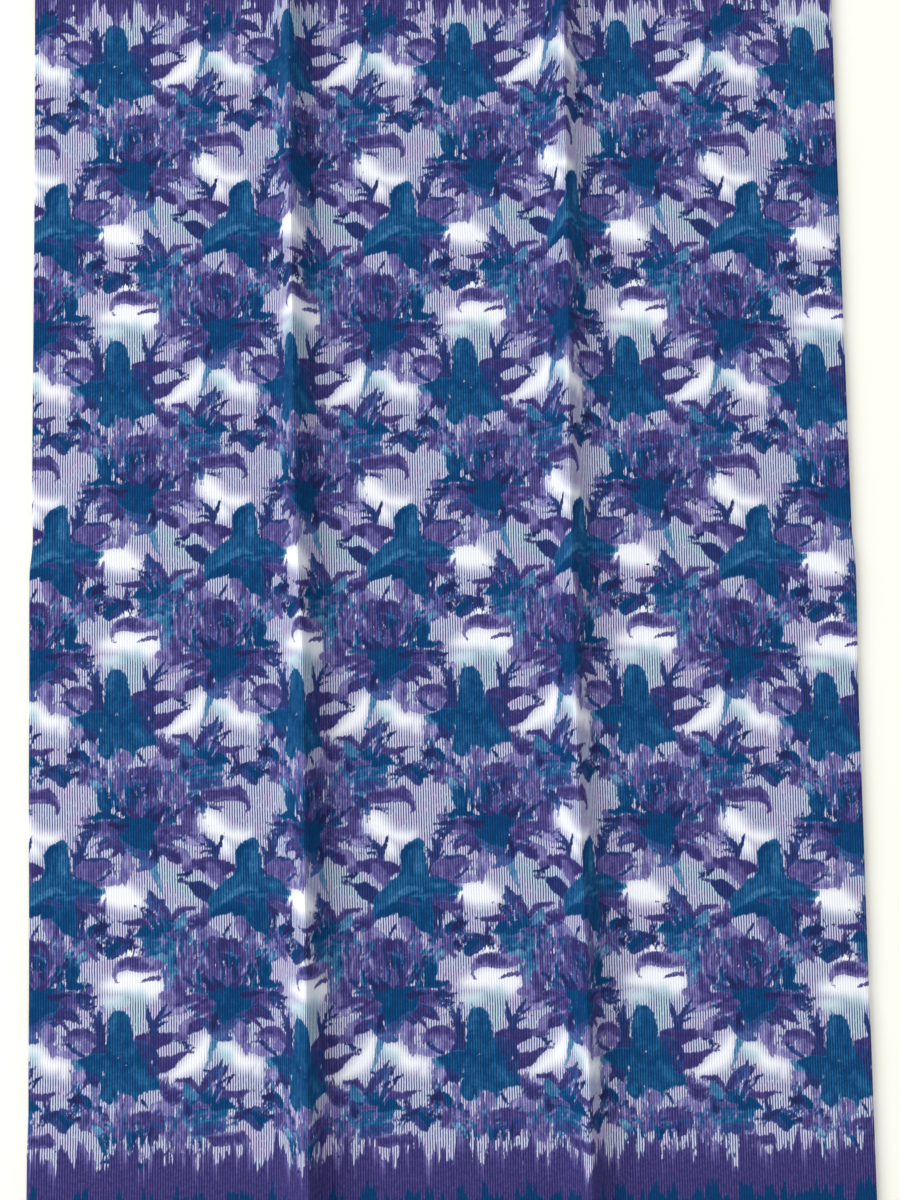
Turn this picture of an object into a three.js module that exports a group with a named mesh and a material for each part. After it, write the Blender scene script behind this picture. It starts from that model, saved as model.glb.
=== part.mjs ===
// A printed cotton saree, folded flat. One length of light ribbed cloth is folded in half
// three times, so eight layers lie on each other. Two soft ridges stand up where the pack
// had been folded in thirds, and one weak crease crosses it halfway along.
//
// Millimetres, +Z up. X runs along the length of the cloth, from side fold to side fold;
// Y runs across it, from selvedge to selvedge. The origin is under the middle of the pack.

import * as THREE from 'three';

// ---- the cloth and how it is folded ----
const CLOTH_LENGTH = 5500;
const CLOTH_WIDTH = 1120;                      // selvedge to selvedge
const LAYERS = 8;                              // folded in half three times
const TAKE_UP = 47.5;                          // cloth that the ridges and the turn-overs use up
const PACK_WIDTH = CLOTH_LENGTH / LAYERS - TAKE_UP;

const PACK_HEIGHT = 8;                         // eight layers, away from the ridges
const CLOTH = 1.2;                             // wall of the top layer
const GAP = 0.3;                               // between the top layer and what it lies on
const STACK_HEIGHT = PACK_HEIGHT - CLOTH - GAP;

const HALF_WIDTH = PACK_WIDTH / 2;
const HALF_LENGTH = CLOTH_WIDTH / 2;

// The right side is the last fold, round all eight layers. The left side is the fold before
// it, round the upper four, and the lower four end under it.
const RIGHT_FOLD_RADIUS = PACK_HEIGHT / 2;
const LEFT_FOLD_RADIUS = PACK_HEIGHT / 4;
const LEFT_FOLD_STEPS = 4;
const RIGHT_FOLD_STEPS = 6;

// ---- how straight the side folds lie: each row says how far they bulge outward at y ----
const SIDE_OUTLINE = [
  { y: -560, left: 0.0, right: 0.4 },
  { y: -335, left: 1.0, right: 0.8 },
  { y: -130, left: 2.4, right: 1.5 },
  { y: -8, left: 3.0, right: 3.4 },
  { y: 22, left: 0.6, right: 1.4 },
  { y: 60, left: 1.5, right: 1.4 },
  { y: 300, left: 1.3, right: 1.3 },
  { y: 560, left: 2.5, right: 2.2 },
];

// The lower four layers peek out past the left fold near the front corner.
const PEEK = { out: 3.1, from: -370, full: -470 };

// ---- the two ridges: where the crest runs, how high it is and how far off each foot lies ----
const RIDGES = [
  {
    leftPower: 2.3,
    rightPower: 1.6,
    rows: [
      { y: -560, crest: -104.5, height: 22.5, leftFoot: 40, rightFoot: 14 },
      { y: -340, crest: -106.0, height: 22.5, leftFoot: 38, rightFoot: 14 },
      { y: -110, crest: -106.5, height: 21.5, leftFoot: 34, rightFoot: 14 },
      { y: 90, crest: -112.5, height: 20.5, leftFoot: 22, rightFoot: 16 },
      { y: 390, crest: -114.0, height: 20.0, leftFoot: 23, rightFoot: 18 },
      { y: 560, crest: -115.0, height: 19.0, leftFoot: 23, rightFoot: 18 },
    ],
  },
  {
    leftPower: 2.0,
    rightPower: 1.8,
    rows: [
      { y: -560, crest: 102.0, height: 22.0, leftFoot: 24, rightFoot: 19 },
      { y: -340, crest: 101.5, height: 22.5, leftFoot: 24, rightFoot: 19 },
      { y: -110, crest: 98.5, height: 21.0, leftFoot: 22, rightFoot: 20 },
      { y: 90, crest: 98.0, height: 20.5, leftFoot: 20, rightFoot: 21 },
      { y: 250, crest: 100.5, height: 20.5, leftFoot: 21, rightFoot: 20 },
      { y: 560, crest: 101.5, height: 20.5, leftFoot: 22, rightFoot: 20 },
    ],
  },
];
const CREST_RADIUS = 1.6;

// ---- the weak crease across the pack, and the slow rise and fall of the top ----
const CROSS_CREASE = { y: 11, height: 0.9, reach: 12 };
const SWELL = { height: 0.7, lengthX: 230, lengthY: 310, fadesIn: 40 };

// ---- the grid that the surfaces are worked out on ----
const ROW_SPACING = 46;
const CREASE_ROWS = [-12, -4, 0, 4, 12];       // distances from the crease
const COLUMN_SPACING = 38;
const FLAT_SPANS = {                           // the plain stretches between the ridges' feet
  left: [-HALF_WIDTH + 12, -152],
  middle: [-76, 66],
  right: [132, HALF_WIDTH - 12],
};
const FLANK_STEPS = [1, 0.7, 0.42, 0.2, 0.08]; // shares of the foot distance, crest apart

const clamp = THREE.MathUtils.clamp;
const smoothstep = THREE.MathUtils.smoothstep;

// Value of one column of a table at y, eased from each row to the next.
function tableAt(rows, column, y) {
  const last = rows.length - 1;
  if (y <= rows[0].y) return rows[0][column];
  if (y >= rows[last].y) return rows[last][column];
  const next = rows.findIndex((row) => row.y > y);
  const before = rows[next - 1];
  const after = rows[next];
  const share = smoothstep(y, before.y, after.y);
  return THREE.MathUtils.lerp(before[column], after[column], share);
}

const leftEdge = (y) => -HALF_WIDTH - tableAt(SIDE_OUTLINE, 'left', y);
const rightEdge = (y) => HALF_WIDTH + tableAt(SIDE_OUTLINE, 'right', y);

// Height of one ridge above the flat pack: each flank falls from the crest to its foot as a
// power of the distance left, and the crest itself is rounded.
function ridgeHeight(ridge, x, y) {
  const away = x - tableAt(ridge.rows, 'crest', y);
  const side = away < 0 ? 'left' : 'right';
  const foot = tableAt(ridge.rows, `${side}Foot`, y);
  if (Math.abs(away) >= foot) return 0;
  const rounded = Math.hypot(away, CREST_RADIUS) - CREST_RADIUS * (1 - Math.abs(away) / foot);
  const left = Math.max(0, 1 - rounded / foot);
  return tableAt(ridge.rows, 'height', y) * Math.pow(left, ridge[`${side}Power`]);
}

// Height of the pack's top, which is level along both side folds.
function topHeight(x, y) {
  const inward = Math.min(x - leftEdge(y), rightEdge(y) - x);
  const fade = smoothstep(inward, LEFT_FOLD_RADIUS, SWELL.fadesIn);
  const swell = SWELL.height * Math.sin((Math.PI * x) / SWELL.lengthX + 0.6)
    * Math.cos((Math.PI * y) / SWELL.lengthY);
  const fromCrease = clamp(Math.abs(y - CROSS_CREASE.y) / CROSS_CREASE.reach, 0, 1);
  const crease = CROSS_CREASE.height * Math.pow(1 - fromCrease, 1.5);
  const ridges = ridgeHeight(RIDGES[0], x, y) + ridgeHeight(RIDGES[1], x, y);
  return PACK_HEIGHT + ridges + fade * (swell + crease);
}

// Point at a depth under the top surface, measured square to it.
function underTop(x, y, depth) {
  const step = 0.5;
  const slopeX = (topHeight(x + step, y) - topHeight(x - step, y)) / (2 * step);
  const slopeY = (topHeight(x, y + step) - topHeight(x, y - step)) / (2 * step);
  const normal = new THREE.Vector3(-slopeX, -slopeY, 1).normalize();
  return new THREE.Vector3(x, y, topHeight(x, y)).addScaledVector(normal, -depth);
}

// Columns from just inside the left fold to just inside the right one. They are close
// together on the ridges, and follow the crests as these wander.
function flatColumns() {
  const columns = [];
  const addPlain = ([from, to]) => {
    const count = Math.round((to - from) / COLUMN_SPACING);
    for (let i = 0; i <= count; i += 1) {
      const x = from + ((to - from) * i) / count;
      columns.push(() => x);
    }
  };
  const addRidge = ({ rows }) => {
    const place = (side, foot, share) => (
      (y) => tableAt(rows, 'crest', y) + side * share * tableAt(rows, foot, y)
    );
    for (const share of FLANK_STEPS) columns.push(place(-1, 'leftFoot', share));
    columns.push(place(0, 'leftFoot', 0));
    for (const share of [...FLANK_STEPS].reverse()) columns.push(place(1, 'rightFoot', share));
  };
  columns.push((y) => leftEdge(y) + LEFT_FOLD_RADIUS);
  addPlain(FLAT_SPANS.left);
  addRidge(RIDGES[0]);
  addPlain(FLAT_SPANS.middle);
  addRidge(RIDGES[1]);
  addPlain(FLAT_SPANS.right);
  columns.push((y) => rightEdge(y) - RIGHT_FOLD_RADIUS);
  return columns;
}

// Rows from selvedge to selvedge, with a close group at the cross crease.
function rowsAcross() {
  const rows = CREASE_ROWS.map((distance) => CROSS_CREASE.y + distance);
  const count = Math.ceil(CLOTH_WIDTH / ROW_SPACING);
  for (let j = 0; j <= count; j += 1) {
    const y = -HALF_LENGTH + (CLOTH_WIDTH * j) / count;
    if (Math.abs(y - CROSS_CREASE.y) > CROSS_CREASE.reach + ROW_SPACING / 3) rows.push(y);
  }
  return rows.sort((a, b) => a - b);
}

const COLUMNS = flatColumns();
const ROWS = rowsAcross();

// ---- the top layer: a wall from under the left fold, over the top, to under the right ----
// Each station is a place along the cloth's length: on a fold's arc, or on the flat columns.
function wallStations() {
  const stations = [];
  for (let i = 0; i < LEFT_FOLD_STEPS; i += 1) {
    stations.push({ fold: 'left', angle: Math.PI * (1.5 - i / LEFT_FOLD_STEPS) });
  }
  for (const column of COLUMNS) stations.push({ fold: null, column });
  for (let i = 1; i <= RIGHT_FOLD_STEPS; i += 1) {
    stations.push({ fold: 'right', angle: Math.PI * (0.5 - i / RIGHT_FOLD_STEPS) });
  }
  return stations;
}

function wallPoint(station, y, depth) {
  if (station.fold === null) return underTop(station.column(y), y, depth);
  const onLeft = station.fold === 'left';
  const radius = onLeft ? LEFT_FOLD_RADIUS : RIGHT_FOLD_RADIUS;
  const centreX = onLeft ? leftEdge(y) + radius : rightEdge(y) - radius;
  const centreZ = PACK_HEIGHT - radius;
  const reach = radius - depth;
  const x = centreX + reach * Math.cos(station.angle);
  return new THREE.Vector3(x, y, centreZ + reach * Math.sin(station.angle));
}

// Closed body from two grids of points that lie over each other, joined round their rims.
function wallBetween(outer, inner) {
  const rows = outer.length;
  const columns = outer[0].length;
  const positions = [];
  const index = [];
  for (const grid of [outer, inner]) {
    for (const row of grid) for (const point of row) positions.push(...point.toArray());
  }
  const at = (side, j, i) => side * rows * columns + j * columns + i;
  const quad = (a, b, c, d) => index.push(a, b, c, a, c, d);
  for (let j = 0; j + 1 < rows; j += 1) {
    for (let i = 0; i + 1 < columns; i += 1) {
      quad(at(0, j, i), at(0, j, i + 1), at(0, j + 1, i + 1), at(0, j + 1, i));
      quad(at(1, j, i), at(1, j + 1, i), at(1, j + 1, i + 1), at(1, j, i + 1));
    }
  }
  for (let i = 0; i + 1 < columns; i += 1) {
    const back = rows - 1;
    quad(at(1, 0, i), at(1, 0, i + 1), at(0, 0, i + 1), at(0, 0, i));
    quad(at(0, back, i), at(0, back, i + 1), at(1, back, i + 1), at(1, back, i));
  }
  for (let j = 0; j + 1 < rows; j += 1) {
    const right = columns - 1;
    quad(at(0, j, 0), at(0, j + 1, 0), at(1, j + 1, 0), at(1, j, 0));
    quad(at(1, j, right), at(1, j + 1, right), at(0, j + 1, right), at(0, j, right));
  }
  return bufferGeometry(positions, index);
}

function bufferGeometry(positions, index) {
  const geometry = new THREE.BufferGeometry();
  geometry.setAttribute('position', new THREE.Float32BufferAttribute(positions, 3));
  geometry.setIndex(index);
  geometry.computeVertexNormals();
  return geometry;
}

function topLayer() {
  const stations = wallStations();
  const surface = (depth) => ROWS.map((y) => stations.map((s) => wallPoint(s, y, depth)));
  return wallBetween(surface(0), surface(CLOTH));
}

// ---- the seven layers under it: level rings round the pack, one above the other ----
// Each row is one ring. height is above the floor; left and right are how far the ring lies
// inside the side folds, and ends how far it lies inside the selvedges. Rings in even rows
// are the grooves between layers, those in odd rows the rounded edges of the layers.
const RINGS = [
  { height: 0.00, left: 0.8, right: 4.6, ends: 0.9 },
  { height: 0.45, left: 0.1, right: 4.4, ends: 0.2 },
  { height: 0.93, left: 0.9, right: 4.4, ends: 1.6 },
  { height: 1.38, left: 0.3, right: 4.4, ends: 1.0 },
  { height: 1.86, left: 1.1, right: 2.75, ends: 1.9 },
  { height: 2.32, left: 0.0, right: 2.15, ends: -0.6 },
  { height: 2.79, left: 0.6, right: 1.85, ends: 0.8 },
  { height: 3.25, left: 0.2, right: 1.65, ends: 0.1 },
  { height: 3.68, left: 2.6, right: 1.55, ends: 1.4 },
  { height: 4.20, left: 2.6, right: 1.55, ends: 0.7 },
  { height: 4.65, left: 2.6, right: 1.6, ends: 2.0 },
  { height: 5.10, left: 2.6, right: 1.8, ends: 1.3 },
  { height: 5.56, left: 2.4, right: 2.1, ends: 2.2 },
  { height: 6.03, left: 1.6, right: 2.6, ends: 1.5 },
  { height: STACK_HEIGHT, left: LEFT_FOLD_RADIUS, right: RIGHT_FOLD_RADIUS, ends: 2.4 },
];
const LOWER_BLOCK_RINGS = 8;                   // the rings of the layers that peek out
const RIDGE_SHARE_POWER = 0.8;                 // how soon the layers rise with the ridges

function peekOut(y) {
  return PEEK.out * (1 - smoothstep(y, PEEK.full, PEEK.from));
}

// Point of ring k where the grid's column i and row j meet, on the border of the grid.
function ringPoint(k, i, j) {
  const ring = RINGS[k];
  const lastColumn = COLUMNS.length - 1;
  const lastRow = ROWS.length - 1;
  let y = ROWS[j];
  if (j === 0) y += ring.ends;
  if (j === lastRow) y -= ring.ends;
  const top = underTop(COLUMNS[i](y), y, CLOTH + GAP);
  let x = top.x;
  if (i === 0) x = leftEdge(y) + ring.left - (k < LOWER_BLOCK_RINGS ? peekOut(y) : 0);
  if (i === lastColumn) x = rightEdge(y) - ring.right;
  const share = Math.pow(ring.height / STACK_HEIGHT, RIDGE_SHARE_POWER);
  return new THREE.Vector3(x, y, ring.height + share * (top.z - STACK_HEIGHT));
}

function foldedLayers() {
  const columns = COLUMNS.length;
  const rows = ROWS.length;
  const positions = [];
  const index = [];
  const border = [];
  for (let i = 0; i < columns - 1; i += 1) border.push([i, 0]);
  for (let j = 0; j < rows - 1; j += 1) border.push([columns - 1, j]);
  for (let i = columns - 1; i > 0; i -= 1) border.push([i, rows - 1]);
  for (let j = rows - 1; j > 0; j -= 1) border.push([0, j]);

  for (let k = 0; k < RINGS.length; k += 1) {
    for (const [i, j] of border) positions.push(...ringPoint(k, i, j).toArray());
  }
  const around = border.length;
  for (let k = 0; k + 1 < RINGS.length; k += 1) {
    for (let n = 0; n < around; n += 1) {
      const a = k * around + n;
      const b = k * around + ((n + 1) % around);
      index.push(a, b, b + around, a, b + around, a + around);
    }
  }

  // The top, inside the highest ring.
  const topStart = (RINGS.length - 1) * around;
  const gridIndex = new Map();
  border.forEach(([i, j], n) => gridIndex.set(`${i},${j}`, topStart + n));
  for (let j = 1; j + 1 < rows; j += 1) {
    for (let i = 1; i + 1 < columns; i += 1) {
      gridIndex.set(`${i},${j}`, positions.length / 3);
      positions.push(...underTop(COLUMNS[i](ROWS[j]), ROWS[j], CLOTH + GAP).toArray());
    }
  }
  const at = (i, j) => gridIndex.get(`${i},${j}`);
  for (let j = 0; j + 1 < rows; j += 1) {
    for (let i = 0; i + 1 < columns; i += 1) {
      index.push(at(i, j), at(i + 1, j), at(i + 1, j + 1));
      index.push(at(i, j), at(i + 1, j + 1), at(i, j + 1));
    }
  }

  // The flat underside, inside the lowest ring.
  const outline = border.map((_, n) => new THREE.Vector2(positions[n * 3], positions[n * 3 + 1]));
  for (const [a, b, c] of THREE.ShapeUtils.triangulateShape(outline, [])) index.push(a, c, b);
  return bufferGeometry(positions, index);
}

function piece(name, geometry, colour) {
  const material = new THREE.MeshStandardMaterial({ color: colour, roughness: 0.9, metalness: 0 });
  const mesh = new THREE.Mesh(geometry, material);
  mesh.name = name;
  return mesh;
}

const saree = new THREE.Group();
saree.name = 'saree';
saree.add(piece('top_layer', topLayer(), 0x5f6fae));
saree.add(piece('folded_layers', foldedLayers(), 0x4d4f8c));

export default saree;
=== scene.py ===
import math

import bpy
import numpy as np
from mathutils import Matrix, Vector


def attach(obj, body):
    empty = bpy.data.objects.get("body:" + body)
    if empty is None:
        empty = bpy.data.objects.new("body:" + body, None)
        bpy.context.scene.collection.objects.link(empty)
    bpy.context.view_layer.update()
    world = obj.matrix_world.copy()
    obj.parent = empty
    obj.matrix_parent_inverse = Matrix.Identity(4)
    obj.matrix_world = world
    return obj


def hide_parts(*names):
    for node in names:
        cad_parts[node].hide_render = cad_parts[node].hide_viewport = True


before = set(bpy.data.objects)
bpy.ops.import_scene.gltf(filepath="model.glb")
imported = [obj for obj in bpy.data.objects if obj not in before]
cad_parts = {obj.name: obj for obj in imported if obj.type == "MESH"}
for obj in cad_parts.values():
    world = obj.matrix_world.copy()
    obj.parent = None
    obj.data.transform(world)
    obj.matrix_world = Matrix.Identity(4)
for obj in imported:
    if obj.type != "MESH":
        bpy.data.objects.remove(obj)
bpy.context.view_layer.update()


# ---- the camera ----
# It hangs over the pack, a little nearer its front, and looks almost straight down.
# All lengths below are millimetres until a mesh or a camera takes them, in metres.
MM = 0.001
CAMERA_AIM = Vector((5.3, -30.6, 7.0))
CAMERA_DISTANCE = 756.8
CAMERA_TILT = math.radians(3.175)               # off the vertical, towards the back
CAMERA_ROLL = math.radians(-0.939)
CAMERA_LENS = 29.13                             # mm, on a 36 mm long side

forward = Vector((0, math.sin(CAMERA_TILT), -math.cos(CAMERA_TILT)))
level_right = Vector((1, 0, 0))
level_up = Vector((0, math.cos(CAMERA_TILT), math.sin(CAMERA_TILT)))
camera_right = level_right * math.cos(CAMERA_ROLL) + level_up * math.sin(CAMERA_ROLL)
camera_up = level_up * math.cos(CAMERA_ROLL) - level_right * math.sin(CAMERA_ROLL)
camera = bpy.data.objects.new("camera", bpy.data.cameras.new("camera"))
camera.data.lens = CAMERA_LENS
camera.data.sensor_width = 36
camera.data.clip_start = 0.01
turn = Matrix((camera_right, camera_up, -forward)).transposed()
place = (CAMERA_AIM - forward * CAMERA_DISTANCE) * MM
camera.matrix_world = Matrix.Translation(place) @ turn.to_4x4()
bpy.context.scene.collection.objects.link(camera)
bpy.context.scene.camera = camera


# ---- the floor and the light ----
# The saree lies on a plain cream-white table top of painted board. A big soft light stands
# on its left, in a pale room.
def linear(hex_colour):
    """sRGB hex colour as linear red, green, blue and alpha."""
    parts = [int(hex_colour[i:i + 2], 16) / 255 for i in (1, 3, 5)]
    return [c / 12.92 if c <= 0.04045 else ((c + 0.055) / 1.055) ** 2.4 for c in parts] + [1.0]


def new_material(name):
    """A node material with nothing in it yet, and its node tree."""
    material = bpy.data.materials.new(name)
    material.use_nodes = True
    material.node_tree.nodes.clear()
    return material, material.node_tree


def add_node(tree, kind, settings=None, **links):
    """Adds a node, sets its properties, and links or fills its inputs.

    An input's key is its name, or i and its number. Its value is a socket, or the value that
    the input is set to.
    """
    node = tree.nodes.new("ShaderNode" + kind)
    for key, value in (settings or {}).items():
        setattr(node, key, value)
    for key, value in links.items():
        numbered = key[0] == "i" and key[1:].isdigit()
        socket = node.inputs[int(key[1:])] if numbered else node.inputs[key.replace("_", " ")]
        if isinstance(value, bpy.types.NodeSocket):
            tree.links.new(value, socket)
        else:
            socket.default_value = value
    return node


def finish_material(tree, shader):
    """Links a shader to the material's output."""
    output = tree.nodes.new("ShaderNodeOutputMaterial")
    tree.links.new(shader.outputs[0], output.inputs["Surface"])


# Painted board: matt, and a little warmer than white.
FLOOR_REACH = 6000
floor_mesh = bpy.data.meshes.new("table_top")
corners = [(-1, -1), (1, -1), (1, 1), (-1, 1)]
floor_mesh.from_pydata(
    [(x * FLOOR_REACH * MM, y * FLOOR_REACH * MM, 0) for x, y in corners], [], [(0, 1, 2, 3)]
)
floor = bpy.data.objects.new("table_top", floor_mesh)
bpy.context.scene.collection.objects.link(floor)
floor_material, tree = new_material("matt_white_board")
finish_material(tree, add_node(
    tree, "BsdfPrincipled", Base_Color=linear("#FDFCF2"), Roughness=0.85,
))
floor_mesh.materials.append(floor_material)

ROOM_LIGHT = 0.72
world = bpy.data.worlds.new("room")
world.use_nodes = True
background = world.node_tree.nodes["Background"]
background.inputs["Color"].default_value = (1, 1, 1, 1)
background.inputs["Strength"].default_value = ROOM_LIGHT
bpy.context.scene.world = world

SOFTBOX = {"x": -4200, "y": 700, "z": 3700, "size": 3200, "watts": 190}
softbox = bpy.data.objects.new("softbox", bpy.data.lights.new("softbox", "AREA"))
softbox.data.shape = "SQUARE"
softbox.data.size = SOFTBOX["size"] * MM
softbox.data.energy = SOFTBOX["watts"]
softbox.location = Vector((SOFTBOX["x"], SOFTBOX["y"], SOFTBOX["z"])) * MM
softbox.rotation_euler = (-softbox.location).to_track_quat("-Z", "Y").to_euler()
bpy.context.scene.collection.objects.link(softbox)
bpy.context.scene.view_settings.view_transform = "Standard"


# ---- the top layer ----
# The uppermost of eight layers of printed cotton. It turns under at both side folds and
# lies over two soft ridges, left where the pack had been folded in thirds.
CLOTH_LENGTH = 5500
CLOTH_WIDTH = 1120
LAYERS = 8
TAKE_UP = 47.5                                  # of each layer, in its ridges and its turns
HALF_WIDTH = (CLOTH_LENGTH / LAYERS - TAKE_UP) / 2
HALF_LENGTH = CLOTH_WIDTH / 2
PACK_HEIGHT = 8
THREAD_WALL = 0.75                              # one layer of cloth
RIGHT_FOLD_RADIUS = PACK_HEIGHT / 2
LEFT_FOLD_RADIUS = PACK_HEIGHT / 4

SIDE_OUTLINE = [                                # how far each side fold bulges outward at y
    {"y": -560, "left": 0.0, "right": 0.4},
    {"y": -335, "left": 1.0, "right": 0.8},
    {"y": -130, "left": 2.4, "right": 1.5},
    {"y": -8, "left": 3.0, "right": 3.4},
    {"y": 22, "left": 0.6, "right": 1.4},
    {"y": 60, "left": 1.5, "right": 1.4},
    {"y": 300, "left": 1.3, "right": 1.3},
    {"y": 560, "left": 2.5, "right": 2.2},
]
RIDGES = [                                      # crest's x, height, and each foot's distance
    {"left_power": 2.3, "right_power": 1.6, "rows": [
        {"y": -560, "crest": -104.5, "height": 22.5, "left": 40, "right": 14},
        {"y": -340, "crest": -106.0, "height": 22.5, "left": 38, "right": 14},
        {"y": -110, "crest": -106.5, "height": 21.5, "left": 34, "right": 14},
        {"y": 90, "crest": -112.5, "height": 20.5, "left": 22, "right": 16},
        {"y": 390, "crest": -114.0, "height": 20.0, "left": 23, "right": 18},
        {"y": 560, "crest": -115.0, "height": 19.0, "left": 23, "right": 18},
    ]},
    {"left_power": 2.0, "right_power": 1.8, "rows": [
        {"y": -560, "crest": 102.0, "height": 22.0, "left": 24, "right": 19},
        {"y": -340, "crest": 101.5, "height": 22.5, "left": 24, "right": 19},
        {"y": -110, "crest": 98.5, "height": 21.0, "left": 22, "right": 20},
        {"y": 90, "crest": 98.0, "height": 20.5, "left": 20, "right": 21},
        {"y": 250, "crest": 100.5, "height": 20.5, "left": 21, "right": 20},
        {"y": 560, "crest": 101.5, "height": 20.5, "left": 22, "right": 20},
    ]},
]
CREST_RADIUS = 2.6
CROSS_CREASE = {"y": 11, "height": 0.9, "reach": 12, "power": 1.5}
SWELL = {"height": 0.7, "length_x": 230, "length_y": 310, "phase": 0.6, "fades_in": 40}


def smoothstep(x, low, high):
    """Eases from 0 at low to 1 at high."""
    share = np.clip((x - low) / (high - low), 0, 1)
    return share * share * (3 - 2 * share)


def table_at(rows, column, y):
    """One column of a table at y, eased from each row to the next."""
    places = np.array([row["y"] for row in rows], float)
    values = np.array([row[column] for row in rows], float)
    before = np.clip(np.searchsorted(places, y) - 1, 0, len(rows) - 2)
    share = smoothstep(y, places[before], places[before + 1])
    return values[before] + (values[before + 1] - values[before]) * share


def left_edge(y):
    """X of the left fold's outermost line."""
    return -HALF_WIDTH - table_at(SIDE_OUTLINE, "left", y)


def right_edge(y):
    """X of the right fold's outermost line."""
    return HALF_WIDTH + table_at(SIDE_OUTLINE, "right", y)


def ridge_height(ridge, x, y):
    """Height of one ridge: each flank falls from the crest to its foot as a power of the
    share of the distance that is left, with the crest itself rounded."""
    away = x - table_at(ridge["rows"], "crest", y)
    on_left = away < 0
    foot = np.where(on_left, table_at(ridge["rows"], "left", y),
                    table_at(ridge["rows"], "right", y))
    power = np.where(on_left, ridge["left_power"], ridge["right_power"])
    distance = np.abs(away)
    rounded = np.hypot(away, CREST_RADIUS) - CREST_RADIUS * (1 - distance / foot)
    left = np.clip(1 - rounded / foot, 0, 1)
    return np.where(distance < foot, table_at(ridge["rows"], "height", y) * left ** power, 0)


def ridges_height(x, y):
    """Height that both ridges add to the pack."""
    return ridge_height(RIDGES[0], x, y) + ridge_height(RIDGES[1], x, y)


def level_height(x, y):
    """The pack's top without its ridges: a slow swell, and the weak crease across it, both
    fading out towards the side folds."""
    inward = np.minimum(x - left_edge(y), right_edge(y) - x)
    fade = smoothstep(inward, LEFT_FOLD_RADIUS, SWELL["fades_in"])
    swell = SWELL["height"] * np.sin(math.pi * x / SWELL["length_x"] + SWELL["phase"])
    swell = swell * np.cos(math.pi * y / SWELL["length_y"])
    near = 1 - np.clip(np.abs(y - CROSS_CREASE["y"]) / CROSS_CREASE["reach"], 0, 1)
    return PACK_HEIGHT + fade * (swell + CROSS_CREASE["height"] * near ** CROSS_CREASE["power"])


# ---- the print on it: cloth coordinates ----
# u runs along the cloth and v across it, from the middle of one flower. The design repeats
# every TILE along both. Each drawing on it is a brush stroke: its spine's points, each with
# u, v and half the stroke's width.
TILE = np.array([147.0, 259.0])
TILE_STEP = 0.5
FLOWER = {"x": 147.0, "y": -116.2}              # where the middle of one flower lies
SKEW = [(-320, 3.7), (-130, 3.7), (-88, 0.0), (93, 2.8), (186, 0.0), (213, -1.9),
        (254, -4.2), (291, -7.4), (325, -9.6)]  # how far up the print has slid, by x
STROKE_REACH = 4.0                              # a stroke's field is kept this far out
SPINE_STEPS = 6                                 # stretches between two points of a spine
PETAL = {"bend": 16, "length": (0.7, 1.15), "tone": 0.08}       # how much a spray's petals vary

tile_size = np.round(TILE / TILE_STEP).astype(int)      # columns, rows
TILE_STEPS = TILE / tile_size
random = np.random.default_rng(417)


def grain(length_u, length_v):
    """Smooth noise that repeats with the tile, of mean 0 and spread 1: white noise with its
    spectrum cut by a Gaussian of these two lengths."""
    white = random.standard_normal((tile_size[1], tile_size[0]))
    wave_u = np.fft.fftfreq(tile_size[0], TILE_STEPS[0])
    wave_v = np.fft.fftfreq(tile_size[1], TILE_STEPS[1])[:, None]
    cut = np.exp(-2 * (math.pi ** 2) * ((wave_u * length_u) ** 2 + (wave_v * length_v) ** 2) / 4)
    soft = np.fft.ifft2(np.fft.fft2(white) * cut).real
    return (soft - soft.mean()) / soft.std()


def smooth_spine(points):
    """Catmull-Rom curve through the points, in SPINE_STEPS stretches between each two."""
    points = np.array(points, float)
    ends = np.vstack([2 * points[0] - points[1], points, 2 * points[-1] - points[-2]])
    share = (np.arange(SPINE_STEPS) / SPINE_STEPS)[:, None]
    parts = []
    for a, b, c, d in zip(ends, ends[1:], ends[2:], ends[3:]):
        bend = (2 * a - 5 * b + 4 * c - d) * share ** 2 + (3 * b - a - 3 * c + d) * share ** 3
        parts.append(b + ((c - a) * share + bend) / 2)
    return np.vstack(parts + [points[-1:]])


def stroke_field(points, wander):
    """The tile's rows and columns round a stroke, and its field there: the half width at the
    nearest stretch of the spine, less the distance to it, in mm."""
    spine = smooth_spine(points)
    reach = STROKE_REACH + spine[:, 2].max()
    low = np.floor((spine[:, :2].min(0) - reach) / TILE_STEPS).astype(int)
    high = np.ceil((spine[:, :2].max(0) + reach) / TILE_STEPS).astype(int)
    columns = np.arange(low[0], high[0] + 1)
    rows = np.arange(low[1], high[1] + 1)[:, None]
    pick = (rows % tile_size[1], columns % tile_size[0])
    u = (columns * TILE_STEPS[0] + wander[0][pick])[..., None]
    v = (rows * TILE_STEPS[1] + wander[1][pick])[..., None]
    a, step = spine[:-1], np.diff(spine, axis=0)
    along = (u - a[:, 0]) * step[:, 0] + (v - a[:, 1]) * step[:, 1]
    share = np.clip(along / np.maximum(step[:, 0] ** 2 + step[:, 1] ** 2, 1e-9), 0, 1)
    off = np.hypot(u - a[:, 0] - share * step[:, 0], v - a[:, 1] - share * step[:, 1])
    return pick, (a[:, 2] + share * step[:, 2] - off).max(-1)


TEAL, PURPLE, NAVY, BARE = 0, 1, 2, 3           # BARE wipes the cloth clean again


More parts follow.
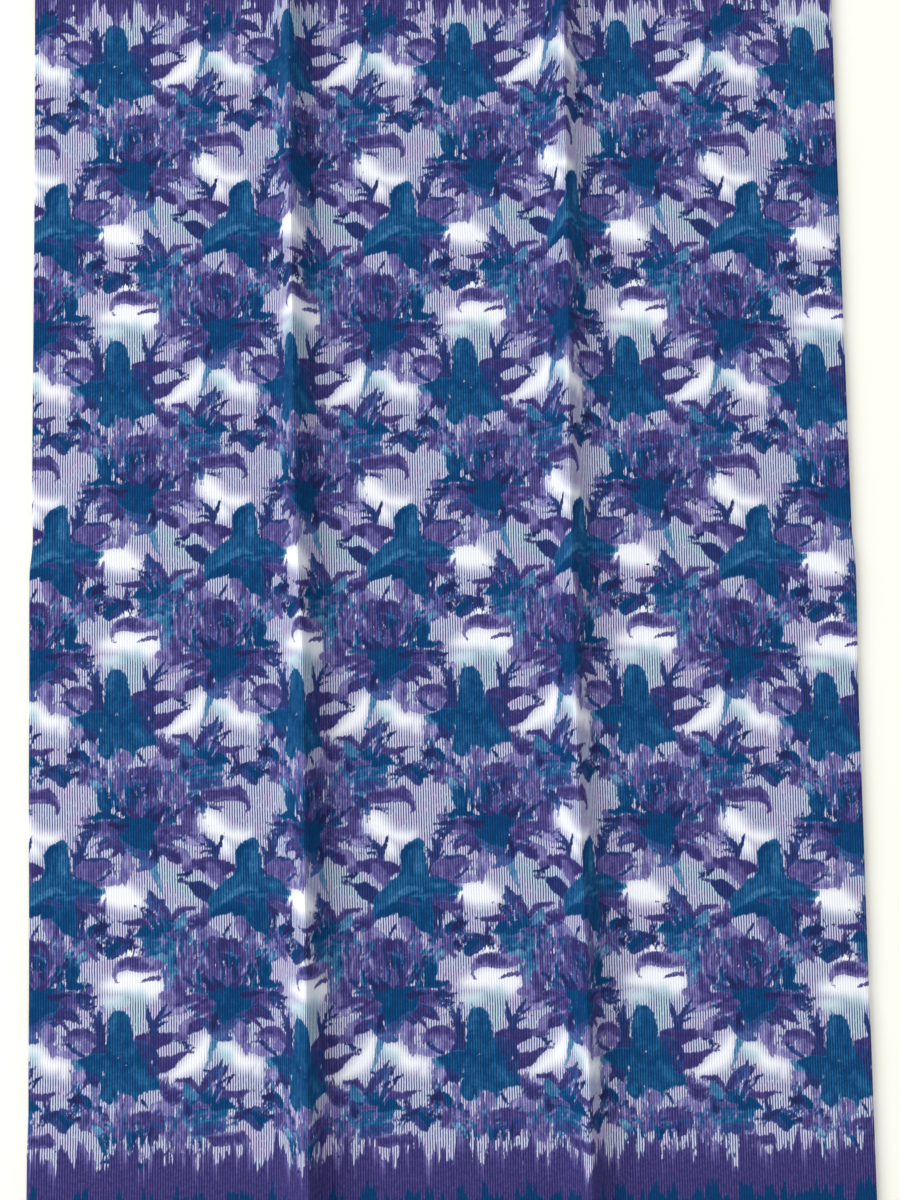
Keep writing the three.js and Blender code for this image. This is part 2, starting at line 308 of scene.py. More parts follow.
def spray(middle, angles, reach, width, dyes, seed, start=0.15):
    """Tapering petals that point away from a middle, at these degrees from u's direction, each
    bent a little to one side and from start times their reach out. dyes lists the inks and
    tones that they are drawn from."""
    draw = np.random.default_rng(seed)
    strokes = []
    for angle in np.arange(*angles):
        bend = draw.uniform(-PETAL["bend"], PETAL["bend"])
        length = reach * draw.uniform(*PETAL["length"])
        points = []
        # widest near the middle of its length, and pointed at its tip
        for share, half in ((start, 0.6), (0.35 + start / 2, 1.0), (0.75, 0.7), (1.0, 0.1)):
            way = math.radians(angle + bend * share * 2)
            points.append((middle[0] + length * share * math.cos(way),
                           middle[1] + length * share * math.sin(way), width * half))
        ink, tone = dyes[draw.integers(len(dyes))]
        strokes.append((ink, tone + draw.uniform(-PETAL["tone"], PETAL["tone"]), points))
    return strokes


DEEP = [(NAVY, 0.86), (TEAL, 0.94), (PURPLE, 0.88)]
MIXED = [(PURPLE, 0.82), (PURPLE, 0.66), (NAVY, 0.78), (TEAL, 0.86)]
# Each row below has a spray's middle, angles, reach, width, inks, seed and, if given, start.
SPRAYS = [stroke for row in (
    ((84, 38), (-24, 214, 12), 33, 3.0, MIXED, 1),              # the burst
    ((84, 40), (-20, 210, 13), 23, 2.4, DEEP, 2),
    ((84, 42), (10, 180, 31), 30, 0.5, [(BARE, 0)], 3),
    ((112, 41), (-44, 50, 12), 19, 1.0, DEEP, 4),
    ((54, 40), (130, 240, 14), 15, 1.1, MIXED, 5),
    ((66, -38), (-30, 215, 17), 21, 2.0, MIXED, 6),             # the cluster under it
    ((70, -40), (20, 170, 19), 14, 1.5, DEEP, 7),
    ((47, -58), (20, 180, 18), 20, 1.8, MIXED, 8),
    ((2, -58), (0, 200, 20), 20, 1.9, MIXED, 9),                # under the flower
    ((-20, -48), (20, 380, 26), 14, 1.5, MIXED, 10),
    ((-31, -34), (90, 290, 22), 11, 1.1, DEEP, 11),             # sprigs
    ((-40, -48), (0, 360, 30), 11, 1.2, DEEP, 12),
    ((97, -45), (110, 260, 18), 14, 1.1, DEEP, 13),
    ((74, -20), (20, 120, 18), 14, 1.0, DEEP, 14),
    ((36, -28), (80, 200, 24), 12, 1.6, MIXED, 15),
    ((-30, 8), (60, 190, 18), 15, 1.3, MIXED, 16),
) for stroke in spray(*row)]
PALE = [(PURPLE, 0.38), (TEAL, 0.62), (NAVY, 0.25), (NAVY, 0.48), (PURPLE, 0.20)]
SLIVERS = [stroke for row in (                  # fine light strokes between the petals
    ((84, 34), (-16, 208, 13), 36, 0.7, PALE, 31, 0.5),
    ((84, 44), (20, 160, 14), 27, 0.6, PALE, 32, 0.45),
    ((52, 52), (40, 140, 17), 24, 0.7, PALE, 33, 0.4),
    ((66, -44), (-10, 200, 17), 24, 0.7, PALE, 34, 0.45),
    ((68, -54), (-30, 200, 23), 18, 0.5, PALE, 35, 0.4),
    ((46, -62), (10, 180, 19), 24, 0.7, PALE, 36, 0.4),
    ((2, -60), (10, 180, 19), 22, 0.7, PALE, 37, 0.4),
    ((-20, -46), (0, 360, 36), 14, 0.6, PALE, 38, 0.4),
    ((40, -32), (0, 360, 51), 11, 0.5, PALE, 39, 0.4),
    ((22, -48), (10, 180, 37), 12, 0.5, PALE, 40, 0.4),
) for stroke in spray(*row)]
HEARTS = [                                      # the burst's solid heart and its pointed petals
    (TEAL, 0.90, [(76, 29, 4), (84, 32, 7), (92, 38, 8), (99, 44, 4)]),
    (TEAL, 0.94, [(73, 43, 4), (83, 46, 6.6), (94, 47, 4)]),
] + spray((84, 38), (-32, 214, 15), 32, 2.5, [(NAVY, 0.86), (PURPLE, 0.86), (PURPLE, 0.72)], 61, 0.48)
# The flower: broad petals round its middle, a navy shade between them, and a pistil.
FLOWER_STROKES = spray((4, -12), (-165, 0, 15), 26, 3.4, [(TEAL, 0.82), (TEAL, 0.74)], 20) + [
    (TEAL, 0.88, [(-10, -8, 7), (-17, -14, 7), (-20, -21, 2)]),
    (TEAL, 0.80, [(0, -16, 7), (5, -23, 6), (8, -28, 2)]),
    (NAVY, 0.74, [(-13, 21, 1.2), (-13.4, 12, 3.4), (-14, 3, 5), (-18, -5, 5), (-21, -14, 4)]),
    (NAVY, 0.70, [(-24, -14, 1.4), (-19, -18, 4.4), (-14, -23, 3)]),
    (NAVY, 0.66, [(11, 7, 2), (18, 4, 6), (24, -2, 6), (28, -9, 2)]),
    (TEAL, 0.86, [(-31, -3, 0.8), (-25, -6, 4.6), (-17, -8, 7.6), (-8, -8, 9)]),
    (TEAL, 0.80, [(0, -8, 10), (-6, -18, 8.6), (-8, -28, 6), (-8, -35, 3.4), (-7, -38, 0.8)]),
    (TEAL, 0.78, [(4, -6, 10), (13, -14, 11.5), (22, -20, 8), (29, -25, 3), (31, -27, 0.8)]),
    (TEAL, 0.86, [(4, -4, 9), (14, -2, 9), (21, -4, 7), (27, -7, 2.4)]),
    (TEAL, 0.80, [(0.5, 0, 10.5), (0.8, 10, 10.8), (0.6, 18, 9.8), (-0.4, 24, 7.8), (-1.6, 28, 4.8),
                  (-2.6, 31.3, 0.9)]),
    (TEAL, 0.62, [(-4.5, 18, 2), (-4, 24, 2.4), (-2, 28, 1.4)]),
    (TEAL, 0.66, [(-8, -27, 2.4), (-7.5, -33, 2.8)]),
    (TEAL, 0.68, [(12, -12, 3), (17, -18, 4), (22, -22, 2)]),
    (NAVY, 0.75, [(12, 7.8, 0.8), (17.4, 4.4, 3.4), (22.6, -0.4, 4.8), (26.4, -6.4, 3)]),
    (NAVY, 0.75, [(21, -8, 1), (24.4, -12.6, 2.6), (27, -18, 1.4)]),
    (TEAL, 0.40, [(-2.6, 30.5, 0.8), (-4, 34, 0.8), (-5.6, 37.5, 0.4)]),
    (BARE, 0, [(-10.4, 4, 0.3), (-10.2, 9, 0.7), (-9.4, 16, 0.5), (-8.2, 22, 0.3)]),
    (BARE, 0, [(11.4, 8.5, 0.5), (11.9, 11.5, 0.6)]),
    (BARE, 0, [(-1, -4, 0.4), (1.6, -2.6, 0.6)]),
    (BARE, 0, [(3.6, -7.4, 0.4), (5.4, -8.8, 0.5)]),
    (BARE, 0, [(-12.6, -13, 0.4), (-12, -15.5, 0.6)]),
    (BARE, 0, [(-12.8, -19, 0.5), (-14.4, -25, 1.0), (-15, -30, 0.5)]),
    (PURPLE, 0.10, [(24.2, -3.6, 0.5), (24.8, -8, 0.7)]),
]
# Round the flower: washes of dye at the back, then leaves, the hooked leaf, drips and petals.
WASHES = [
    (NAVY, 0.62, [(74, 16, 4), (78, 28, 10), (82, 44, 13), (80, 60, 12), (80, 74, 9)]),
    (PURPLE, 0.58, [(45, 42, 3), (48, 54, 7), (51, 68, 9), (51, 78, 8)]),
    (PURPLE, 0.66, [(62, 42, 4), (66, 54, 7), (66, 68, 8), (66, 78, 7)]),
    (PURPLE, 0.62, [(98, 44, 5), (101, 58, 8), (99, 74, 8)]),
    (NAVY, 0.74, [(92, 22, 5), (99, 31, 8), (107, 38, 5)]),
    (TEAL, 0.84, [(100, 53, 3), (108, 60, 8), (112, 68, 5)]),
    (NAVY, 0.34, [(36, 66, 4), (37, 58, 4), (37.4, 50, 3.4), (37, 44, 2.4)]),
    (PURPLE, 0.44, [(33, 42, 2.4), (39, 42, 4.6), (44, 38, 4)]),
    (PURPLE, 0.34, [(35, 37, 2), (38, 31, 3.6), (46, 32, 3)]),
    (PURPLE, 0.52, [(34, -50, 4), (42, -54, 8), (49, -61, 8), (44, -71, 9)]),
    (PURPLE, 0.36, [(20, -62, 4), (26, -66, 6), (32, -72, 5)]),
    (NAVY, 0.50, [(44, -36, 3), (50, -42, 5), (58, -47, 8), (68, -52, 9), (77, -54, 6)]),
    (TEAL, 0.66, [(52, -29, 3), (60, -36, 6), (70, -42, 8), (78, -44, 5)]),
    (PURPLE, 0.40, [(27, -40, 3), (35, -39, 5), (43, -40, 6)]),
    (PURPLE, 0.40, [(-5, -33, 2), (-4, -42, 5), (-8, -50, 8), (-12, -56, 7)]),
    (NAVY, 0.50, [(0, -44, 2), (2, -54, 5), (3, -66, 7), (2, -74, 6)]),
    (PURPLE, 0.52, [(-16, -24, 3), (-18, -34, 4), (-22, -44, 6), (-24, -52, 5)]),
    (PURPLE, 0.30, [(-44, 1, 3), (-37, 1, 3.6), (-30, 0, 2.6)]),
    (TEAL, 0.42, [(-33, -6, 2.6), (-29, -9, 4), (-26, -14, 3.6)]),
    (PURPLE, 0.36, [(-30, -14, 3), (-26, -18, 4.4), (-21, -18, 2)]),
]
ROUND_STROKES = [
    # sprig and shade left of the top petal
    (NAVY, 0.72, [(-27, 36, 0.5), (-23, 32, 0.9), (-20, 27, 1.2), (-17, 20, 1.8), (-14, 12, 2.6)]),
    (NAVY, 0.70, [(-19.5, 35, 0.5), (-18, 28, 1.2), (-16, 21, 2)]),
    (NAVY, 0.72, [(-12.5, 36, 0.8), (-15, 31, 1.4), (-15.4, 25, 2), (-15, 16, 3)]),
    (NAVY, 0.78, [(-22, 22.5, 0.7), (-19, 19.5, 1.2), (-16, 18, 1.4)]),
    (NAVY, 0.78, [(-8.6, 24.5, 0.6), (-11, 20, 1.2), (-13, 14, 2.2), (-13.6, 6, 3)]),
    (PURPLE, 0.30, [(-14, 35, 1.4), (-12, 32, 1.2)]),
    # leaf left of the flower: light body, dark upper side, a dark line under it
    (PURPLE, 0.40, [(-43, 0, 1.5), (-38, 1, 1.8), (-32, 0, 1)]),
    (PURPLE, 0.52, [(-35, 11, 2.4), (-29, 8.4, 5.2), (-23, 5, 4.6), (-17, 1.5, 1.2)]),
    (PURPLE, 0.78, [(-38, 15, 1.8), (-33, 16, 3), (-25, 15.4, 3.4), (-19.5, 11.5, 3.2),
                    (-16, 5, 1.6)]),
    (PURPLE, 0.16, [(-20, 7.5, 0.5), (-18, 4, 0.7), (-16, 1, 0.4)]),
    (NAVY, 0.74, [(-41.5, 12, 0.4), (-40.4, 8, 0.8), (-36, 5, 1.4), (-31, 2, 1.8), (-27, -0.5, 1)]),
    # mottled stretch under it
    (PURPLE, 0.52, [(-36, -12, 1.4), (-35.4, -19, 2.4), (-37, -24, 1.2), (-39.4, -27, 0.4)]),
    (NAVY, 0.70, [(-40, -27.5, 0.5), (-36, -24.5, 1.1), (-33, -20, 1)]),
    (PURPLE, 0.84, [(-31, -28.5, 0.4), (-27, -24.5, 1.3), (-23, -20, 2.6), (-18, -17, 2.2)]),
    (PURPLE, 0.46, [(-16.6, -19, 2), (-17, -27, 3.2), (-18, -34, 2.4), (-17, -39, 0.9)]),
    (BARE, 0, [(-22.4, -24, 1.2), (-21.8, -30, 1.6), (-20.4, -35, 0.8)]),
    # leaves right of the flower
    (PURPLE, 0.84, [(10.5, 8.6, 0.6), (17, 10.5, 4), (25, 9.6, 7), (33, 10.4, 5.2), (41, 11.8, 2.6),
                    (48, 13, 1.2)]),
    (PURPLE, 0.60, [(42, 11.6, 2.4), (47, 11.6, 3.8), (51, 10.6, 2)]),
    (PURPLE, 0.42, [(47, 15, 2.8), (51.5, 19.6, 5.2), (56, 23, 4.2), (60, 25, 2)]),
    (PURPLE, 0.86, [(53, 15.4, 1.4), (58.5, 20.6, 5.2), (62.5, 24, 3), (66.5, 25.4, 0.5)]),
    (NAVY, 0.84, [(43, 8.6, 0.7), (47, 6.4, 1.3), (52, 5.4, 1.0), (56.6, 4.2, 0.8)]),
    (NAVY, 0.84, [(48, 4.2, 0.5), (52.6, 2.2, 0.9), (57, 1.2, 0.5)]),
    (PURPLE, 0.84, [(25, -13.6, 5), (31, -10, 5.8), (39, -5.6, 4.4), (46, -2.2, 2.2), (56, 0.6, 0.4)]),
    # forked twig right of the top petal
    (NAVY, 0.70, [(26.4, 16, 2.6), (25.6, 21, 2.4), (23, 28, 1.8), (21.4, 34, 0.9), (19.8, 38, 0.3)]),
    (NAVY, 0.68, [(26.4, 20, 2.4), (29.4, 26.4, 2.0), (33, 32, 1.6), (39, 38, 0.4)]),
    (NAVY, 0.76, [(28, 21, 1.2), (34, 23, 1.0), (42, 23.4, 0.4)]),
    (NAVY, 0.76, [(30, 25, 1.0), (36, 29, 1.0), (41, 31, 0.4)]),
    # the hooked leaf and the crescent under it
    (TEAL, 0.36, [(27, 70, 4.6), (33, 70, 5), (38, 67, 2.6)]),
    (PURPLE, 0.44, [(0.4, 52.8, 0.4), (-2.6, 54.4, 1.2), (-3.4, 58.6, 2.0), (-1.6, 63, 2.8),
                    (4, 66.6, 4.9), (12, 66.6, 5.5), (20, 66.6, 5.5), (28, 67, 4.8), (34, 65, 1)]),
    (PURPLE, 0.74, [(1, 66, 1.6), (6, 68.6, 3.2), (12, 67.6, 3.8), (18, 66.4, 3.2), (26, 64.4, 0.8)]),
    (PURPLE, 0.62, [(16.4, 53, 0.4), (20.6, 55.2, 1.3), (26, 56.2, 1.8), (31, 56.8, 1.6),
                    (34, 56.2, 0.4)]),
    # the drips between the hooked leaf and the burst
    (TEAL, 0.46, [(41, 74, 3), (41.4, 63, 3.4), (42, 55, 2.4), (42, 51, 0.8)]),
    (PURPLE, 0.54, [(48, 76, 3.4), (48, 63, 3.4), (47, 55, 2.4)]),
    (PURPLE, 0.72, [(44, 57, 2), (45.6, 49, 4.4), (46, 42, 3.2), (44, 38, 1)]),
    (PURPLE, 0.62, [(53.4, 78, 3.8), (53.4, 65, 4.2), (52.6, 57.6, 1.4)]),
    (NAVY, 0.72, [(48.6, 56.4, 1.4), (54, 53.4, 1.9), (59, 49.6, 1.9), (64, 47.4, 1.7), (69, 46, 1)]),
    (TEAL, 0.90, [(61, 65, 2.6), (61.6, 57.6, 2.8), (62, 52, 1.4)]),
    (PURPLE, 0.64, [(67, 76, 3.6), (67.4, 61, 3.6), (68.4, 50, 2.6)]),
    (PURPLE, 0.28, [(66.6, 70, 1.2), (67, 63, 1)]),
    (PURPLE, 0.76, [(76, 76, 3.4), (76, 62, 3), (76, 54, 1.4)]),
    (BARE, 0, [(37.4, 66, 0.5), (37.4, 60, 0.6), (39.4, 52.5, 0.7)]),
    (BARE, 0, [(57.4, 60, 0.5), (57.6, 54, 0.8), (57, 51, 0.5)]),
    (BARE, 0, [(64.6, 55, 0.4), (66.4, 49, 0.6), (68, 44, 0.3)]),
    # the burst: petals all round, then its heart and the strokes that stand up in it
    (TEAL, 0.35, [(73, 13.6, 3), (73, 7, 2.8), (71, 1, 2), (69, -5, 1.4), (66.4, -11, 0.6)]),
    (PURPLE, 0.48, [(91, 19, 5.6), (94, 13, 6.2), (96, 7, 4.2), (97, 2, 2.2), (96.6, -3, 0.6)]),
    (NAVY, 0.42, [(70, 17, 2.6), (76, 15, 4.8), (82, 13, 4.4), (86.4, 9, 1.4)]),
    (TEAL, 0.90, [(98, 50, 2.8), (104, 51.6, 3.4), (110, 52, 3.6), (116, 50.4, 3), (121, 49, 1.6),
                  (127, 49.6, 0.5)]),
    (PURPLE, 0.60, [(122.6, 44, 0.8), (125.4, 46.6, 1.9), (127.8, 49, 0.6)]),
    (PURPLE, 0.74, [(94, 37, 3.4), (102, 40, 4.6), (110, 41.6, 5.2), (117, 42.2, 4), (122, 42, 1.4)]),
    (NAVY, 0.84, [(115, 43.4, 2), (120, 43, 2.2), (126, 42.4, 1.4), (133.6, 43.8, 0.3)]),
    (NAVY, 0.72, [(117, 39, 1.6), (125, 38.4, 1.3), (130.6, 36.4, 0.4)]),
    (NAVY, 0.72, [(118, 36, 1.2), (124, 34.6, 1.1), (128.6, 35, 0.4)]),
    (PURPLE, 0.55, [(108, 35.6, 1.6), (114, 35.4, 1.6), (119, 34, 0.8)]),
    (NAVY, 0.74, [(94, 28, 5), (102, 29.4, 4.8), (109, 30, 4.2), (114, 28, 2.8), (115.6, 24.4, 1.3),
                  (115.8, 21, 0.4)]),
    (TEAL, 0.84, [(88, 50, 3), (94, 56, 5), (101, 61, 5.6), (108, 66, 3.6), (114, 72, 0.6)]),
    (TEAL, 0.62, [(99, 58, 2), (104, 61.6, 2.4), (108, 65, 1)]),
    (NAVY, 0.70, [(64, 26, 3), (69, 24, 5.6), (73, 19.6, 4)]),
    (PURPLE, 0.74, [(43, 38.4, 0.4), (48, 39.4, 1.8), (54, 39.6, 4), (61, 38, 6.6), (68, 35, 8.4),
                    (72, 30, 7)]),
    (PURPLE, 0.56, [(71, 24.6, 1.2), (72.4, 21, 1)]),
    (NAVY, 0.56, [(82, 22, 6), (87, 32, 10), (90, 42, 8), (94, 50, 2)]),
    (PURPLE, 0.80, [(74, 46, 3), (68, 56, 4), (63, 66, 3), (58, 76, 0.5)]),
    (PURPLE, 0.74, [(78, 50, 3), (75, 60, 4), (71, 70, 2.6), (67, 80, 0.5)]),
    (NAVY, 0.80, [(82, 50, 3.4), (81, 62, 3.6), (78, 72, 2), (76, 82, 0.4)]),
    (TEAL, 0.92, [(86, 48, 3), (87, 60, 3.8), (86, 72, 2.4), (84, 82, 0.5)]),
    (PURPLE, 0.80, [(89, 46, 3), (93, 58, 4), (95, 70, 2.6), (96, 80, 0.5)]),
    (NAVY, 0.84, [(92, 44, 3), (99, 54, 4), (104, 64, 2.6), (108, 72, 0.5)]),
    (TEAL, 0.88, [(74, 32, 3.6), (75.6, 40, 5.8), (77, 48, 5.4), (77, 55, 2), (77, 60, 0.8)]),
    (TEAL, 0.80, [(78, 23, 2), (81, 28, 4.6), (85, 33, 4.4), (86, 40, 2)]),
    (TEAL, 0.86, [(84, 40, 3), (86, 48, 2.6), (88, 54, 1)]),
    (NAVY, 0.78, [(81.6, 34, 0.6), (82.4, 42, 1.4), (82, 50, 1.6), (81.4, 60, 1)]),
    (TEAL, 0.50, [(87, 21.4, 0.5), (92.6, 23.8, 0.9), (98, 25.8, 0.5)]),
    (PURPLE, 0.14, [(85.8, 31, 0.4), (87.8, 36, 0.7), (89.4, 40, 0.3)]),
    (BARE, 0, [(89, 49.4, 0.7), (97, 50.6, 0.9), (104, 54.4, 1.3)]),
    (BARE, 0, [(73.8, 33, 0.4), (74.6, 27, 0.6), (77, 18.6, 0.7)]),
    (BARE, 0, [(73.4, 66, 0.4), (73.6, 59, 0.5)]),
    (BARE, 0, [(80.4, 70, 0.5), (80.6, 62, 0.5), (80, 56, 0.3)]),
    (BARE, 0, [(87, 68, 0.4), (87.4, 62, 0.4)]),
    (BARE, 0, [(84, 13.6, 0.5), (87.4, 11.6, 0.7), (89.6, 6, 0.5)]),
    (BARE, 0, [(99, 8, 0.8), (101, 14, 1.2), (102, 20, 0.8)]),
    # cluster under the burst
    (PURPLE, 0.78, [(41.6, -19.2, 0.7), (46, -20, 1.9), (51, -21.4, 2.4), (56, -22.6, 3.1),
                    (60.4, -28, 0.7)]),
    (PURPLE, 0.06, [(43.6, -22.8, 0.8), (47, -25.6, 1.7), (50.4, -26, 0.8)]),
    (TEAL, 0.50, [(51, -26, 2.6), (54, -31, 4.6), (59, -33, 3)]),
    (PURPLE, 0.72, [(31, -26.6, 1.2), (36.6, -27, 3), (42, -28, 3.2), (46.6, -29, 1.6)]),
    (PURPLE, 0.86, [(36, -31.4, 3), (40, -33, 4.6), (44, -33, 4.4), (48.6, -30, 1.2)]),
    (PURPLE, 0.50, [(33, -42, 2.6), (38, -43, 3.6), (43, -43, 1.6)]),
    (NAVY, 0.60, [(28, -48, 2), (34, -48, 2.6), (40, -47.6, 2), (44, -46, 1)]),
    (TEAL, 0.52, [(45.4, -41, 1.8), (47, -46, 2), (47, -50, 1)]),
    (NAVY, 0.70, [(52, -36, 2.4), (53.6, -43, 3.2), (53, -50, 2)]),
    (TEAL, 0.72, [(56, -50, 5), (64, -50, 7), (72, -48, 7), (78.6, -46, 4), (81, -49, 1)]),
    (NAVY, 0.62, [(56, -58, 3), (64, -57, 5), (72, -56.6, 4), (78, -54.6, 1.2)]),
    (TEAL, 0.86, [(60, -39, 3), (70, -37, 6), (79, -37, 5), (86, -39.6, 2.2), (91.6, -42, 0.5)]),
    (TEAL, 0.80, [(60, -34.4, 0.9), (66, -31, 3), (73, -29, 3.6), (80, -31, 3)]),
    (NAVY, 0.40, [(59, -46, 0.8), (66, -44.4, 1.4), (75, -44, 0.8)]),
    (TEAL, 0.55, [(60, -52, 0.6), (66, -50, 1.0), (74, -49.4, 0.6)]),
    (PURPLE, 0.70, [(54, -40, 1.4), (60, -40, 2), (67, -40, 0.9)]),
    (NAVY, 0.60, [(74, -26, 3), (78.6, -26.6, 3), (82, -28.6, 2)]),
    (PURPLE, 0.82, [(78, -29, 2.4), (83.6, -30, 2.9), (89, -30.4, 2.6), (95, -29.8, 1.7),
                    (102, -28.4, 0.4)]),
    (NAVY, 0.64, [(62.6, -28, 1.2), (66, -22.6, 3.6), (71, -17, 4), (75.4, -12, 2.8), (78.4, -5.4, 0.5)]),
    (PURPLE, 0.88, [(63.6, -26.6, 0.9), (66, -22, 2.2), (69.6, -16.6, 1.2)]),
    (NAVY, 0.44, [(78.4, -10, 0.7), (78, -16, 1.5), (76, -21, 1.6)]),
    (NAVY, 0.84, [(74, -24, 1.6), (79, -21, 1.3), (85.6, -18.8, 0.5)]),
    (NAVY, 0.84, [(79.6, -27, 1.1), (83, -22.4, 1.0), (85, -19, 0.5)]),
    (NAVY, 0.84, [(86, -18.6, 0.7), (89.6, -17, 0.8)]),
    (BARE, 0, [(35.4, -50, 0.5), (36, -54, 0.8)]),
    (BARE, 0, [(44, -38.6, 0.5), (44, -43, 0.7)]),
    (BARE, 0, [(46.4, -45, 0.4), (48.4, -51, 0.6)]),
    (BARE, 0, [(54, -57, 0.4), (53.6, -62, 0.8), (54, -67, 0.5)]),
    (BARE, 0, [(31.6, -60, 0.6), (33, -66, 0.8), (34, -71, 0.5)]),
    # leaves and drops under the flower
    (PURPLE, 0.50, [(8, -24, 1.6), (8.4, -31, 4.4), (7.4, -38, 3.8), (6, -43, 1.4)]),
    (PURPLE, 0.78, [(1.4, -27, 1.2), (1.8, -35, 2.1), (4, -42, 1.9), (8, -48.4, 1.6), (10, -55, 0.8)]),
    (PURPLE, 0.62, [(-1, -41, 1.3), (-0.6, -49, 3.1), (0, -58, 3), (1, -66, 1.4)]),
    (NAVY, 0.45, [(4, -55, 1.8), (4, -63, 2.6), (4, -71, 2)]),
    (TEAL, 0.86, [(9, -57, 2.2), (10, -65, 3.2), (10, -73, 2)]),
    (NAVY, 0.84, [(15.6, -31, 0.5), (18.4, -35, 1.4), (21.6, -39.6, 0.8)]),
    (PURPLE, 0.80, [(11.6, -48, 2.2), (16, -48, 4.9), (22, -47.6, 5.6), (28, -48, 6), (32, -50.6, 4)]),
    (NAVY, 0.60, [(26, -52, 2), (30, -53.6, 2.6), (34, -54, 1.6)]),
    (TEAL, 0.50, [(-6, -52, 2), (-5, -57, 2)]),
    (TEAL, 0.82, [(-14, -58, 1.4), (-9, -62.6, 3.6), (-3, -68, 5)]),
    (BARE, 0, [(-6, -38, 1.5), (-6, -45, 2), (-7.4, -51, 0.9)]),
    (BARE, 0, [(5.4, -63, 0.5), (5.6, -68, 0.7)]),
    # navy sprig lower left of the flower
    (NAVY, 0.55, [(-45, -41.6, 1.2), (-38, -41, 1.5), (-32, -40, 0.7)]),
    (TEAL, 0.92, [(-30, -32.6, 2), (-26, -34, 3.6), (-22, -38, 2.6), (-20, -41, 1)]),
    (NAVY, 0.90, [(-39, -33.6, 0.5), (-34, -32.2, 2.4), (-31, -33.6, 3.2), (-27, -36.6, 1.6)]),
    (NAVY, 0.90, [(-36, -36, 0.8), (-33, -30.6, 1.2), (-30, -29, 0.6)]),
    (NAVY, 0.72, [(-27, -40, 1.6), (-21, -42, 2.6), (-15, -40, 1.6), (-11, -40.6, 0.6)]),
    (TEAL, 0.92, [(-47, -45, 2.6), (-41.4, -48.4, 3.6), (-38.6, -52.6, 2.6), (-38.4, -56, 0.6)]),
    (TEAL, 0.92, [(-41, -47, 1.6), (-36, -49.6, 1.4), (-34.6, -51, 0.5)]),
    (NAVY, 0.90, [(-33.6, -48, 0.5), (-30, -48, 2), (-26.6, -49, 1.6), (-23, -47.6, 0.7)]),
    (PURPLE, 0.74, [(-23, -43, 2), (-24.6, -49, 3.4), (-27, -54.6, 1.6), (-28.6, -57.6, 0.4)]),
    (PURPLE, 0.45, [(-18, -44, 1.6), (-16, -49, 2.4), (-13, -54, 1.6)]),
    (TEAL, 0.34, [(-19, -54, 2.4), (-15, -57, 2.6), (-12, -60, 1.6)]),
    (NAVY, 0.80, [(-56, -46, 1.2), (-51, -45, 2.8), (-46, -43, 1.9)]),
    (NAVY, 0.66, [(-55, -49, 1.5), (-49, -49.6, 2.9), (-44, -53, 3), (-40, -56, 1.6)]),
    (NAVY, 0.80, [(-53, -48.4, 1), (-61, -50, 0.8), (-68.6, -51.8, 0.4)]),
    (NAVY, 0.80, [(-54, -51, 0.8), (-60, -53, 0.7), (-64.6, -54.8, 0.4)]),
]
MIRROR = {"u": 101.5, "v": -131.0}              # where the mirrored copy lies
